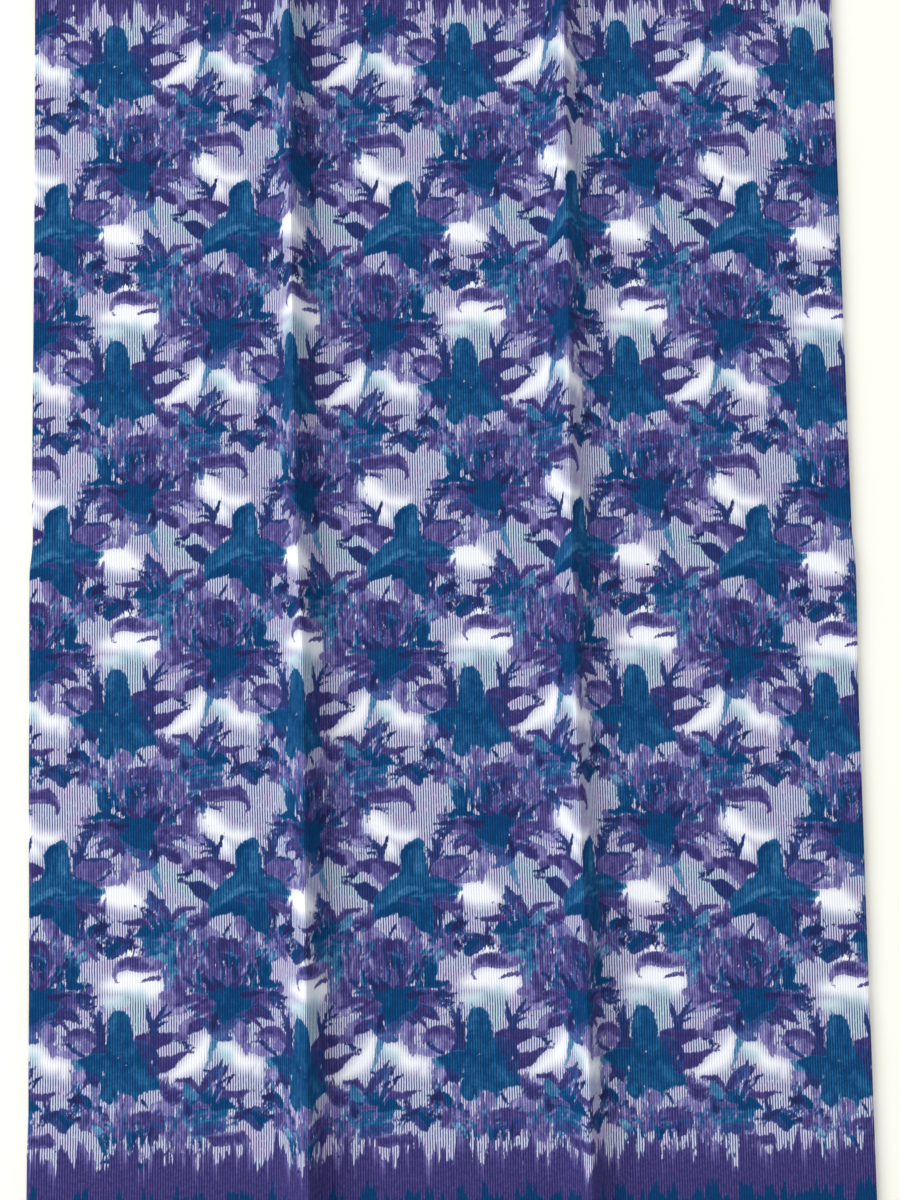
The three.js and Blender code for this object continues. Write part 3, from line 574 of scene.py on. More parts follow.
# The mirrored copy has its own hooked leaf, darker, and its own flower, broad and mottled.
BROAD_STROKES = [
    (BARE, 0, [(97, -59, 2), (103, -62, 4), (107, -70, 4), (105, -79, 3)]),
    (BARE, 0, [(70, -80, 3), (67, -85, 5), (66, -91, 3)]),
    (NAVY, 0.66, [(56, -66, 3), (62, -70, 5), (67, -74, 3)]),
    (PURPLE, 0.80, [(68, -65, 3.6), (76, -65.6, 5), (84, -66, 4.8), (91, -67.4, 3.4),
                    (97, -70, 2.6), (100.6, -73.4, 2.2), (101.4, -77, 1.4), (99.6, -80, 0.4)]),
    (PURPLE, 0.56, [(76, -68, 0.8), (85, -68, 1.6), (92, -69.4, 0.8)]),
    (NAVY, 0.76, [(70, -74.6, 1.4), (75, -76, 1.2), (81, -79.4, 0.4)]),
    (PURPLE, 0.82, [(60, -116, 3), (68, -116.6, 4.6), (76, -118, 4), (84, -119.4, 1.6)]),
    (PURPLE, 0.58, [(70, -119, 3), (74, -124, 5), (78, -129, 4), (80, -133, 1.4)]),
    (NAVY, 0.80, [(56, -134, 3), (63, -137, 6), (70, -142, 5.4), (74, -147, 2)]),
    (PURPLE, 0.16, [(67, -124, 0.5), (69.6, -129, 1), (71.4, -133, 0.5)]),
    (NAVY, 0.72, [(106, -103, 1.4), (111, -110, 3.4), (114, -119, 5), (116, -130, 4)]),
    (PURPLE, 0.62, [(118, -122, 4.4), (126, -120.6, 7), (134, -118.8, 5.8), (140.6, -115.4, 1)]),
    (NAVY, 0.72, [(118, -114, 0.6), (127, -113.6, 1.6), (136, -113.4, 1.4), (141, -116, 0.6)]),
    (PURPLE, 0.66, [(120, -131, 2), (128, -131.4, 2.6), (136, -131, 1)]),
    (TEAL, 0.75, [(100, -126, 11), (100, -138, 14.5), (101, -147, 12), (102, -154, 8)]),
    (TEAL, 0.75, [(101, -132, 11), (100, -121, 10.6), (100.6, -112, 10), (102.8, -105, 6.8),
                  (104.6, -101, 2)]),
    (TEAL, 0.92, [(91.6, -124, 1.4), (92.4, -114, 2), (96, -106, 1.8), (103, -101.6, 1.2)]),
    (TEAL, 0.62, [(104, -128, 2.6), (103.6, -118, 3.2), (104.6, -109, 1.4)]),
    (TEAL, 0.70, [(98, -133, 9), (88, -138, 10), (79, -146, 8.6), (74, -151.6, 5.8),
                  (70.4, -156.6, 1)]),
    (TEAL, 0.92, [(94, -147, 4), (85, -151, 4.6), (77, -154, 3.4), (72, -156.4, 1)]),
    (TEAL, 0.78, [(104, -134, 10), (114, -136, 9.4), (123, -137, 7.4), (131.6, -137, 2.4)]),
    (TEAL, 0.92, [(97, -142, 9), (94, -150, 7), (90, -157, 2.6)]),
    (NAVY, 0.74, [(115, -148, 6), (116, -153, 7.4), (115.6, -160, 7), (115.6, -168, 4.6),
                  (116, -174, 1)]),
    (TEAL, 0.86, [(104, -144, 9), (106, -154, 8.4), (109, -163, 6), (113, -171, 1.8)]),
    (NAVY, 0.66, [(114, -142, 3), (121, -144.4, 4.4), (128, -145, 3), (133, -143, 1)]),
    (PURPLE, 0.78, [(118, -148, 2), (124, -150, 3.4), (131, -151, 3), (137, -152.4, 1)]),
    (TEAL, 0.56, [(80, -146, 1), (88, -140, 2.2), (97, -136.6, 3), (106, -137, 1.6)]),
    (TEAL, 0.60, [(98, -143, 0.8), (105, -141.6, 1.8), (114, -141.4, 1)]),
    (TEAL, 0.62, [(112, -133, 1), (120, -133.4, 2), (127, -134, 1)]),
    (NAVY, 0.70, [(90, -144, 1.4), (98, -146, 2), (104, -149, 1)]),
    (BARE, 0, [(108.8, -105, 0.4), (110.6, -112, 0.9), (112, -120, 1), (112.8, -127, 0.5)]),
]

# White glows in the ground, cyan tints in it, and zones where the dye has run into streaks.
GLOWS = [
    [(-8, 50, 4), (0, 52, 7), (9, 53, 9), (19, 51, 10), (28, 49, 7)],
    [(-8, 38, 3), (0, 40, 4)],
    [(-10, 118, 7), (3, 118, 10), (14, 114, 6)],
    [(38, -17, 2), (46, -13, 5), (55, -8, 7), (62, 0, 7), (66, 10, 4)],
    [(79, 5, 4), (84, 1, 6), (92, -7, 6), (101, -8, 5)],
    [(-41, -8, 4), (-42, -14, 3)],
    [(-5, -138, 6), (4, -141, 8), (12, -146, 4)],
    [(-8, -180, 3), (2, -182, 5), (12, -186, 5)],
    [(69, -81, 5), (74, -88, 8), (84, -94, 5), (94, -97, 5), (100, -95, 3)],
    [(78, -98, 4), (83, -106, 5)],
]
TINTS = [
    [(-6, 36, 4), (4, 40, 5), (12, 40, 5)],
    [(14, 20, 5), (15, 32, 6), (16, 42, 5)],
    [(76, 4, 4), (82, -4, 5)],
    [(-12, -62, 4), (-16, -68, 4)],
    [(32, -120, 4), (44, -128, 6), (56, -135, 8), (68, -141, 5)],
]
STREAKS = [
    [(34, 66, 5), (36, 54, 7), (38, 42, 5)],
    [(44, 76, 8), (49, 64, 9), (50, 54, 5)],
    [(64, 78, 8), (66, 68, 6)],
    [(86, 80, 8), (90, 70, 5)],
    [(-38, -10, 4), (-36, -20, 5), (-28, -22, 5)],
    [(7, -28, 5), (4, -42, 9), (-4, -56, 10), (0, -70, 10)],
    [(-18, -26, 4), (-18, -44, 8), (-14, -56, 7)],
    [(32, -42, 5), (46, -42, 8), (54, -50, 6)],
    [(38, -58, 8), (46, -66, 10)],
    [(90, 16, 7), (97, 4, 5)],
    [(-42, 4, 5), (-30, 8, 4)],
]


GRAINS = {                                      # lengths along u and v in mm, and strength
    "stray u": (6, 9, 0.5), "stray v": (6, 9, 0.6),             # of a stroke's outline, mm
    "fray": (1.1, 2.6, 0.32),                                   # of its edge, mm
    "specks": (1.1, 6, 1), "streaks": (0.9, 7, 0.8),            # in the streaked zones
    "ink streaks": (1.2, 7, 0.9),
    "tone": (2.5, 5, 0.045), "tone streaks": (1.2, 7, 0.08),
}
FRAY_START = 1.5                                # mm outside a stroke, where its fraying starts
TONE_EDGE = 0.8                                 # mm over which a stroke's tone sets in
STREAKED = {"thinner": 2.6, "speck": 2.2}       # mm that the streaked zones' dye loses
SPECK_RANGE = (2.0, 2.8)                        # the grain's peaks that make a bare speck


def grained(name):
    """One of the grains at its strength."""
    length_u, length_v, strength = GRAINS[name]
    return strength * grain(length_u, length_v)


def mirrored(points):
    """The same stroke in the mirrored copy of the design."""
    return [(MIRROR["u"] - u, v + MIRROR["v"], width) for u, v, width in points]


def paint_print():
    """Fields of the print over one tile: how deep inside dyed cloth a point lies, in mm, and
    inside each ink; each ink's tone from 0, light, to 1, dark; and from 0 to 1 the ground's
    glow, its tint and its streakiness."""
    shape = (3, tile_size[1], tile_size[0])
    dye = np.full(shape[1:], -STROKE_REACH)
    inks = np.full(shape, -STROKE_REACH)
    tones = np.full(shape, 0.5)
    ground = np.zeros(shape)
    wander = (grained("stray u"), grained("stray v"))
    fray = grained("fray")

    def lay(ink, tone, points):
        pick, field = stroke_field(points, wander)
        field = field + fray[pick] * np.clip(field + FRAY_START, 0, 1)
        if ink == BARE:
            dye[pick] = np.minimum(dye[pick], -field)
            return
        dye[pick] = np.maximum(dye[pick], field)
        for other in (TEAL, PURPLE, NAVY):
            if other != ink:
                inks[other][pick] = np.minimum(inks[other][pick], -field)
        inks[ink][pick] = np.maximum(inks[ink][pick], field)
        sets_in = smoothstep(field, -TONE_EDGE, TONE_EDGE)
        tones[ink][pick] += (tone - tones[ink][pick]) * sets_in

    for strokes in (WASHES, SPRAYS, ROUND_STROKES, SLIVERS, HEARTS):
        for ink, tone, points in strokes:
            lay(ink, tone, mirrored(points))
        for ink, tone, points in strokes:
            lay(ink, tone, points)
    for ink, tone, points in BROAD_STROKES + FLOWER_STROKES:
        lay(ink, tone, points)

    # the ground's channels, each with the width of its soft edge
    for channel, strokes, soft in ((0, GLOWS, 6), (1, TINTS, 6), (2, STREAKS, 4)):
        for points in strokes:
            for copy in [points, mirrored(points)] if channel == 2 else [points]:
                pick, field = stroke_field([(u, v, w + soft) for u, v, w in copy], wander)
                layer = ground[channel]
                layer[pick] = np.maximum(layer[pick], smoothstep(field, 0, 2 * soft))
    streaked = ground[2]
    limit = STROKE_REACH - STREAKED["thinner"] * streaked
    specks = STREAKED["speck"] * smoothstep(grained("specks"), *SPECK_RANGE)
    dye = np.clip(dye, -limit, limit) + (grained("streaks") - specks) * streaked
    for ink in (TEAL, PURPLE, NAVY):
        inks[ink] = np.clip(inks[ink], -limit, limit) + grained("ink streaks") * streaked
    tones += grained("tone") + grained("tone streaks") * streaked
    return (np.clip(dye, -STROKE_REACH, STROKE_REACH),
            np.clip(inks, -STROKE_REACH, STROKE_REACH), tones, ground)


def on_tile(layer, u, v):
    """A tile's layer at u, v, straight between its four nearest points."""
    column, row = u / TILE_STEPS[0], v / TILE_STEPS[1]
    i, j = np.floor(column).astype(int), np.floor(row).astype(int)
    across, up = column - i, row - j
    i0, i1 = i % tile_size[0], (i + 1) % tile_size[0]
    j0, j1 = j % tile_size[1], (j + 1) % tile_size[1]
    low = layer[j0, i0] * (1 - across) + layer[j0, i1] * across
    high = layer[j1, i0] * (1 - across) + layer[j1, i1] * across
    return low * (1 - up) + high * up


print_dye, print_inks, print_tones, print_ground = paint_print()

# The field of flowers ends in ragged drips of purple, and these in teal, before the selvedge.
BORDER = {"thins from": 430, "purple": 446, "teal": 480, "purple again": 515, "selvedge": 553}
DRIPS = {"purple": 11, "teal": 9, "softness": 0.42}     # heights in mm, field per mm
WAVES = {"count": 12, "width": 1.7, "growth": 1.3, "first": 0.7, "gain": 0.05, "share": 4}
LIGHT_DRIPS = {"from": 0.1, "full": 0.7, "ends": 8}
BORDER_LOSS = {"dye": 2.4, "glow": 0.9}         # what the dye, in mm, and the glow lose by there
BORDER_TONES = {"purple": 0.81, "light drips": 0.38, "teal": 0.98}


def drips(u, height, seed):
    """Height of the ragged drips at u: a sum of sine waves of random phase, each longer than
    the last by the same factor, and a little stronger."""
    phases = np.random.default_rng(seed)
    total = np.zeros_like(u)
    for wave in range(1, WAVES["count"] + 1):
        length = WAVES["width"] * (WAVES["growth"] ** wave)
        swing = np.sin(2 * math.pi * u / length + phases.uniform(0, 6.28))
        total += swing * (WAVES["first"] + WAVES["gain"] * wave)
    return height * total / WAVES["share"]


# ---- the top layer's surface and pieces ----
# The layer's outer face is worked out row by row along the cloth, so that the print and the
# ribs keep to its length. It is one cloth, made as four closed stretches side by side.
STRETCHES = ("left", "left_middle", "right_middle", "right")
STRETCH_COLUMNS = 136                           # squares of cloth along each stretch
ROWS = 640                                      # and from selvedge to selvedge
INNER_STEP = 4                                  # the hidden inner face is this much coarser
TUCK_DEPTH = 0.4                                # share of the cloth that each stretch's end is
                                                # tucked in under the next one
FINE_STEPS = 2400                               # steps that the length along it is summed in
FOLD_STEPS = {"left": 40, "right": 60}          # and those round each side fold


def top_profile(y):
    """X, Z and the length along the cloth for each row y: round the left fold, over the top,
    and round the right fold. The length is 0 at the flower's middle."""
    y = y[:, None]
    from_left = np.linspace(0, 1, FINE_STEPS)
    start, end = left_edge(y) + LEFT_FOLD_RADIUS, right_edge(y) - RIGHT_FOLD_RADIUS
    x = start + (end - start) * from_left
    z = level_height(x, y) + ridges_height(x, y)
    left = np.linspace(1.5 * math.pi, 0.5 * math.pi, FOLD_STEPS["left"])[:-1]
    right = np.linspace(0.5 * math.pi, -0.5 * math.pi, FOLD_STEPS["right"])[1:]
    x = np.hstack([start + LEFT_FOLD_RADIUS * np.cos(left), x,
                   end + RIGHT_FOLD_RADIUS * np.cos(right)])
    z = np.hstack([PACK_HEIGHT - LEFT_FOLD_RADIUS * (1 - np.sin(left)) + 0 * y, z,
                   PACK_HEIGHT - RIGHT_FOLD_RADIUS * (1 - np.sin(right)) + 0 * y])
    steps = np.hypot(np.diff(x, axis=1), np.diff(z, axis=1))
    along = np.hstack([np.zeros_like(y), np.cumsum(steps, axis=1)])
    flat = slice(FOLD_STEPS["left"] + 5, -FOLD_STEPS["right"] - 5)
    zero = np.array([np.interp(FLOWER["x"], row_x[flat], row_s[flat])
                     for row_x, row_s in zip(x, along)])
    return x, z, along - zero[:, None]


def top_surface():
    """Grids of X, Y, Z, u and v over the whole top layer, evenly spaced along the cloth."""
    y = np.linspace(-HALF_LENGTH, HALF_LENGTH, ROWS + 1)
    x, z, along = top_profile(y)
    shares = np.linspace(0, 1, len(STRETCHES) * STRETCH_COLUMNS + 1)
    u = along[:, :1] + (along[:, -1:] - along[:, :1]) * shares
    grid_x = np.array([np.interp(*row) for row in zip(u, along, x)])
    grid_z = np.array([np.interp(*row) for row in zip(u, along, z)])
    grid_y = np.repeat(y[:, None], u.shape[1], axis=1)
    skew = np.interp(grid_x, *np.array(SKEW).T)
    return grid_x, grid_y, grid_z, u, grid_y - FLOWER["y"] - skew


def offset_inward(x, y, z, depth):
    """The grid moved square to its surface, to the inside of the cloth."""
    points = np.stack([x, y, z], -1)
    along = np.gradient(points, axis=1)
    across = np.gradient(points, axis=0)
    normal = np.cross(along, across)
    return points - depth * normal / np.linalg.norm(normal, axis=-1, keepdims=True)


def shell_mesh(name, outer, inner, step):
    """Closed mesh of a sheet: a fine outer grid, an inner grid that is step times coarser,
    and a rim of polygons that joins each coarse edge to the fine edges over it."""
    rows, columns = outer.shape[:2]
    inner_rows, inner_columns = inner.shape[:2]
    fine = np.arange(rows * columns).reshape(rows, columns)
    coarse = rows * columns + np.arange(inner_rows * inner_columns).reshape(inner.shape[:2])

    def quads(grid):
        return np.stack([grid[:-1, :-1], grid[:-1, 1:], grid[1:, 1:], grid[1:, :-1]], -1)

    faces = quads(fine).reshape(-1, 4)
    under = quads(coarse)[..., ::-1].reshape(-1, 4)
    rim = []
    for fine_line, coarse_line in (
        (fine[0, ::-1], coarse[0, ::-1]), (fine[-1], coarse[-1]),
        (fine[:, 0], coarse[:, 0]), (fine[::-1, -1], coarse[::-1, -1]),
    ):
        for k in range(len(coarse_line) - 1):
            edge = fine_line[k * step:(k + 1) * step + 1]
            rim.append(np.concatenate([edge, [coarse_line[k + 1], coarse_line[k]]]))
    rim = np.array(rim)

    mesh = bpy.data.meshes.new(name)
    points = np.vstack([outer.reshape(-1, 3), inner.reshape(-1, 3)]) * MM
    mesh.vertices.add(len(points))
    mesh.vertices.foreach_set("co", points.ravel())
    loops = np.concatenate([faces.ravel(), under.ravel(), rim.ravel()])
    sizes = np.concatenate([np.full(len(faces) + len(under), 4), np.full(len(rim), rim.shape[1])])
    mesh.loops.add(len(loops))
    mesh.loops.foreach_set("vertex_index", loops)
    mesh.polygons.add(len(sizes))
    mesh.polygons.foreach_set("loop_start", np.concatenate([[0], np.cumsum(sizes)[:-1]]))
    mesh.polygons.foreach_set("loop_total", sizes)
    smooth = np.arange(len(sizes)) < len(faces) + len(under)
    mesh.polygons.foreach_set("use_smooth", smooth)
    mesh.update(calc_edges=True)
    return mesh


def set_print(mesh, u, v, inner_u, inner_v, edge):
    """Stores the cloth coordinates as a UV map, and the print's fields on the vertices.

    edge is how far each vertex lies from the middle line, which the borders go by."""
    u, v = np.concatenate([u.ravel(), inner_u.ravel()]), np.concatenate([v.ravel(), inner_v.ravel()])
    dye = on_tile(print_dye, u, v)
    inks = np.stack([on_tile(layer, u, v) for layer in print_inks], -1)
    tones = np.stack([on_tile(layer, u, v) for layer in print_tones], -1)
    ground = np.stack([on_tile(layer, u, v) for layer in print_ground], -1)

    purple = DRIPS["softness"] * (edge - BORDER["purple"] + drips(u, DRIPS["purple"], 5))
    teal = DRIPS["softness"] * (edge - BORDER["teal"] + drips(u + 40, DRIPS["teal"], 9))
    selvedge = edge - BORDER["selvedge"]
    thin = smoothstep(edge, BORDER["thins from"], BORDER["purple"])
    dye = dye - BORDER_LOSS["dye"] * thin
    ground *= 1 - BORDER_LOSS["glow"] * thin[:, None]
    dye = np.clip(np.maximum(dye, purple), -STROKE_REACH, STROKE_REACH)
    teal = np.minimum(teal, BORDER["purple again"] - edge + 0.5 * drips(u, DRIPS["teal"], 7))
    for ink, field in ((NAVY, -purple), (TEAL, teal), (PURPLE, np.minimum(purple, -teal))):
        inks[:, ink] = np.where(purple > 0, field, inks[:, ink])
    # light drips run a little way into the purple
    light = smoothstep(drips(u + 9, 1.0, 21), LIGHT_DRIPS["from"], LIGHT_DRIPS["full"])
    light = light * smoothstep(purple, LIGHT_DRIPS["ends"], 0)
    fade = BORDER_TONES["purple"] - BORDER_TONES["light drips"] * light
    tones[:, PURPLE] += (fade - tones[:, PURPLE]) * smoothstep(purple, -1, 1)
    tones[:, TEAL] += (BORDER_TONES["teal"] - tones[:, TEAL]) * smoothstep(purple, -1, 1)
    ground[:, 2] = smoothstep(selvedge, -1, 1)                # the streaks are in the dye by now
    inks = np.clip(inks, -STROKE_REACH, STROKE_REACH)
    layer = mesh.attributes.new("dye", "FLOAT", "POINT")
    layer.data.foreach_set("value", dye)
    for name, values in (("inks", inks), ("tones", tones), ("ground", ground)):
        layer = mesh.attributes.new(name, "FLOAT_VECTOR", "POINT")
        layer.data.foreach_set("vector", values.ravel())
    set_cloth_map(mesh, u, v)


def set_cloth_map(mesh, u, v):
    """Stores each vertex's cloth coordinates as the UV map that the patterns go by."""
    corners = np.empty(len(mesh.loops), int)
    mesh.loops.foreach_get("vertex_index", corners)
    uv = mesh.uv_layers.new(name="cloth")
    uv.data.foreach_set("uv", (np.stack([u, v], -1)[corners] * MM).ravel())


# ---- printed cotton ----
# Light plain-woven cotton with a raised cord every 1.95 mm along its width. The dye sits
# fuller on the cords' flanks, so edges are frayed and fine dark lines run down the ground.
CORD_PITCH = 1.95
CORD_BUMP = 0.22                                # mm from groove to back
INK_COLOURS = {                                 # from thin dye to thick
    "teal": [
        (0.0, "#BCD3E0"), (0.3, "#6E9ABA"), (0.55, "#316E9C"), (0.8, "#104B7D"), (1.0, "#0B3563"),
    ],
    "purple": [
        (0.0, "#CAC9EB"), (0.3, "#8F8CBE"), (0.55, "#67609D"), (0.8, "#403A75"), (1.0, "#2C295F"),
    ],
    "navy": [
        (0.0, "#8F9DC4"), (0.35, "#5068A1"), (0.6, "#324884"), (0.8, "#2A346A"), (1.0, "#1E2450"),
    ],
}
GROUND_CORD = "#CDD4ED"
MAUVE_CORD = "#D4C9EB"
GROUND_LINE = "#3B4571"
GLOW_WHITE = "#F6F9FE"
TINT_CORD = "#BFDCE6"
SELVEDGE_COLOUR = "#3E3F86"
SPOTS_PER_MM = {"waver": 0.09, "fray": 0.9, "patches": 0.3, "tinge": 0.055}     # of each noise
FRAY_STRETCH = 0.28                             # the fraying is longer along the cords
CORD_SWAY = 1.6                                 # radians that a cord wanders from its line
MOTTLE = {"strength": 0.46, "middle": -0.30}
LINE_TONE = 0.29                                # how much darker the ink is between two cords
INK_EDGE = 0.6                                  # mm of softness where one ink meets another
DYE_EDGE = 0.4                                  # and where the dye meets the bare ground
RAGGED = {"noise": 2.6, "cord": 0.22}           # mm that the fraying moves the dye's edge
LINE_SETS_IN = {"From_Min": 0.35, "From_Max": -0.6}             # at these heights of a cord
LINE_WEARS = {"From_Min": 0.12, "From_Max": 0.45}               # and these of the fraying
MAUVE_SPOTS = {"From_Min": 0.44, "From_Max": 0.62}              # and of the tinge
GLOW_HIDES = 0.9                                # share of the lines that a glow takes away
FRAY_BUMP = 0.4                                 # of the cords' own height
NOISE = {"noise_dimensions": "2D"}
EASED = {"interpolation_type": "SMOOTHSTEP"}
COLOURS = {"data_type": "RGBA"}
PLUS, MINUS, TIMES = ({"operation": name} for name in ("ADD", "SUBTRACT", "MULTIPLY"))
TIMES_PLUS, LARGER = ({"operation": name} for name in ("MULTIPLY_ADD", "MAXIMUM"))
COSINE, SIZE = ({"operation": name} for name in ("COSINE", "ABSOLUTE"))


def set_stops(colour_ramp, stops):
    """Fills a colour ramp with sRGB colours at their places."""
    for k, (position, colour) in enumerate(stops):
        element = colour_ramp.elements[k] if k < 2 else colour_ramp.elements.new(position)
        element.position = position
        element.color = linear(colour)


def printed_cotton():
    """Ground cords with dark lines between them, under three inks. The fields on the vertices
    say where each ink lies and how thick, and noise frays its edges."""
    material, tree = new_material("printed_cotton")
    cloth = add_node(tree, "UVMap", {"uv_map": "cloth"}).outputs["UV"]
    place = add_node(tree, "SeparateXYZ", Vector=cloth)
    fields = {}
    for name in ("inks", "tones", "ground"):
        layer = add_node(tree, "Attribute", {"attribute_name": name})
        fields[name] = add_node(tree, "SeparateXYZ", Vector=layer.outputs["Vector"]).outputs
    glow, tint, selvedge = fields["ground"]

    # the cords: 1 on a cord's back, -1 in the groove between two
    waver = add_node(tree, "TexNoise", NOISE, Vector=cloth, Scale=SPOTS_PER_MM["waver"] / MM,
                     Detail=1.0).outputs[0]
    sway = add_node(tree, "Math", TIMES, i0=waver, i1=CORD_SWAY).outputs[0]
    turns = add_node(tree, "Math", TIMES_PLUS, i0=place.outputs[0],
                     i1=2 * math.pi / (CORD_PITCH * MM), i2=sway).outputs[0]
    cord = add_node(tree, "Math", COSINE, i0=turns).outputs[0]

    # fraying: spots about a millimetre across the cords and four along them, with finer detail
    stretched = add_node(tree, "Mapping", Vector=cloth, Scale=(1.0, FRAY_STRETCH, 1.0)).outputs[0]
    fray = add_node(tree, "TexNoise", NOISE, Vector=stretched, Scale=SPOTS_PER_MM["fray"] / MM,
                    Detail=2.0, Roughness=0.6).outputs[0]
    ragged = add_node(tree, "Math", TIMES_PLUS, i0=fray, i1=RAGGED["noise"],
                      i2=-RAGGED["noise"] / 2).outputs[0]
    ragged = add_node(tree, "Math", TIMES_PLUS, i0=cord, i1=RAGGED["cord"],
                      i2=ragged).outputs[0]
    patches = add_node(tree, "TexNoise", NOISE, Vector=cloth, Scale=SPOTS_PER_MM["patches"] / MM,
                       Detail=4.0, Roughness=0.8).outputs[0]
    mottle = add_node(tree, "Math", TIMES_PLUS, i0=patches, i1=MOTTLE["strength"],
                      i2=MOTTLE["middle"]).outputs[0]

    # the bare ground: pale cords, in places mauve, white or cyan, with a dark line between two
    line = add_node(tree, "MapRange", EASED, Value=cord, **LINE_SETS_IN).outputs[0]
    worn = add_node(tree, "MapRange", EASED, Value=fray, **LINE_WEARS).outputs[0]
    strength = add_node(tree, "Math", TIMES_PLUS, i0=glow, i1=-GLOW_HIDES, i2=1.0).outputs[0]
    strength = add_node(tree, "Math", TIMES, i0=strength, i1=worn).outputs[0]
    strength = add_node(tree, "Math", TIMES, i0=line, i1=strength).outputs[0]
    tinge = add_node(tree, "TexNoise", NOISE, Vector=cloth, Scale=SPOTS_PER_MM["tinge"] / MM,
                     Detail=4.0, Roughness=0.65).outputs[0]
    mauve = add_node(tree, "MapRange", EASED, Value=tinge, **MAUVE_SPOTS).outputs[0]
    colour = linear(GROUND_CORD)
    for share, laid_over in (
        (mauve, MAUVE_CORD), (glow, GLOW_WHITE), (tint, TINT_CORD), (strength, GROUND_LINE),
    ):
        colour = add_node(tree, "Mix", COLOURS, i0=share, i6=colour, i7=linear(laid_over)).outputs[2]

    # the inks: each one's shade by its tone, then purple over teal and navy over both
    shades = []
    for tone, stops in zip(fields["tones"], INK_COLOURS.values()):
        tone = add_node(tree, "Math", PLUS, i0=tone, i1=mottle).outputs[0]
        tone = add_node(tree, "Math", TIMES_PLUS, i0=line, i1=LINE_TONE, i2=tone).outputs[0]
        shade = add_node(tree, "ValToRGB", Fac=tone)
        set_stops(shade.color_ramp, stops)
        shades.append(shade.outputs["Color"])
    teal, purple, navy = fields["inks"]
    dye = add_node(tree, "Attribute", {"attribute_name": "dye"}).outputs["Fac"]
    others = add_node(tree, "Math", LARGER, i0=teal, i1=purple).outputs[0]
    covers = []
    for field, edge in (
        (add_node(tree, "Math", MINUS, i0=purple, i1=teal).outputs[0], INK_EDGE),
        (add_node(tree, "Math", MINUS, i0=navy, i1=others).outputs[0], INK_EDGE),
        (dye, DYE_EDGE),
    ):
        field = add_node(tree, "Math", PLUS, i0=field, i1=ragged).outputs[0]
        covers.append(add_node(tree, "MapRange", EASED, Value=field, From_Min=-edge,
                               From_Max=edge).outputs[0])
    shade = add_node(tree, "Mix", COLOURS, i0=covers[0], i6=shades[0], i7=shades[1]).outputs[2]
    shade = add_node(tree, "Mix", COLOURS, i0=covers[1], i6=shade, i7=shades[2]).outputs[2]
    colour = add_node(tree, "Mix", COLOURS, i0=covers[2], i6=colour, i7=shade).outputs[2]
    colour = add_node(tree, "Mix", COLOURS, i0=selvedge, i6=colour,
                      i7=linear(SELVEDGE_COLOUR)).outputs[2]

    # cotton has next to no gloss, only the relief of its cords
    height = add_node(tree, "Math", TIMES_PLUS, i0=fray, i1=FRAY_BUMP, i2=cord).outputs[0]
    bump = add_node(tree, "Bump", Height=height, Distance=CORD_BUMP * MM, Strength=0.6).outputs[0]
    finish_material(tree, add_node(
        tree, "BsdfPrincipled", Base_Color=colour, Roughness=0.88, Normal=bump,
        Specular_IOR_Level=0.05,
    ))
    return material


def add_piece(mesh, material, node):
    """A finished piece: linked, ridden on the body, and standing for its CAD node."""
    mesh.materials.append(material)
    piece = bpy.data.objects.new(mesh.name, mesh)
    bpy.context.scene.collection.objects.link(piece)
    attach(piece, "root")
    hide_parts(node)
    return piece


cotton = printed_cotton()
grid_x, grid_y, grid_z, grid_u, grid_v = top_surface()
grid = np.stack([grid_x, grid_y, grid_z], -1)
inner_grid = offset_inward(grid_x, grid_y, grid_z, THREAD_WALL)
for number, stretch in enumerate(STRETCHES):
    last = (number + 1) * STRETCH_COLUMNS
    tuck = INNER_STEP * (number < len(STRETCHES) - 1)
    span = slice(number * STRETCH_COLUMNS, last + tuck + 1)
    coarse = (slice(None, None, INNER_STEP),) * 2
    outer, inner = grid[:, span].copy(), inner_grid[:, span][coarse]
    outer[:, STRETCH_COLUMNS + 1:] += TUCK_DEPTH * (inner_grid - grid)[:, last + 1:last + tuck + 1]
    mesh = shell_mesh(f"top_layer_{stretch}", outer, inner, INNER_STEP)
    across = np.concatenate([np.abs(outer[..., 1]).ravel(), np.abs(inner[..., 1]).ravel()])
    u, v = grid_u[:, span], grid_v[:, span]
    set_print(mesh, u, v, u[coarse], v[coarse], across)
    piece = add_piece(mesh, cotton, "top_layer")


# ---- the folded layers ----
# The other seven layers are the same cloth going on. The top layer turns under on the left
# round layers 2 to 4, and on the right round all the others. Layers 5 and 6 end in the
# cloth's two cut ends on the left, over the fold that joins layers 7 and 8.
OUTER_MIDDLE = 0.4                              # of the first and last layer, under its face
LAYER_HEIGHTS = np.linspace(PACK_HEIGHT - OUTER_MIDDLE, OUTER_MIDDLE, LAYERS)   # from the top
RISE_POWER = 0.8                                # how soon the layers rise with the ridges
PEEK = {"out": 3.1, "from": -370, "full": -470}         # the lower layers show past the left fold
END_INSETS = (0, 1.3, 2.0, 0.9, 1.6, 0.4, 1.0, 0.5)  # how far each layer's selvedges lie in
EDGE_WAVE = {"height": 0.35, "length": 47, "shift": 1.9}
LEFT_INSETS = {2: 2.2, 3: 2.2, 4: 2.0, 5: 0.5, 6: 1.3, 7: 1.1, 8: 1.1}      # from the left fold
UPPER_BLOCK = (2, 3, 4)                         # the layers that the left fold holds
TURN_STEPS = 8
LAYER_ROWS = 41
LAYER_COLUMNS = 111
NEAR_RIDGES = {"x": (-112, 100), "reach": 22, "pace": 0.55, "elsewhere": 0.06}
NEAR_CREASE = np.array([-19, -12, -6, 0, 6, 12])


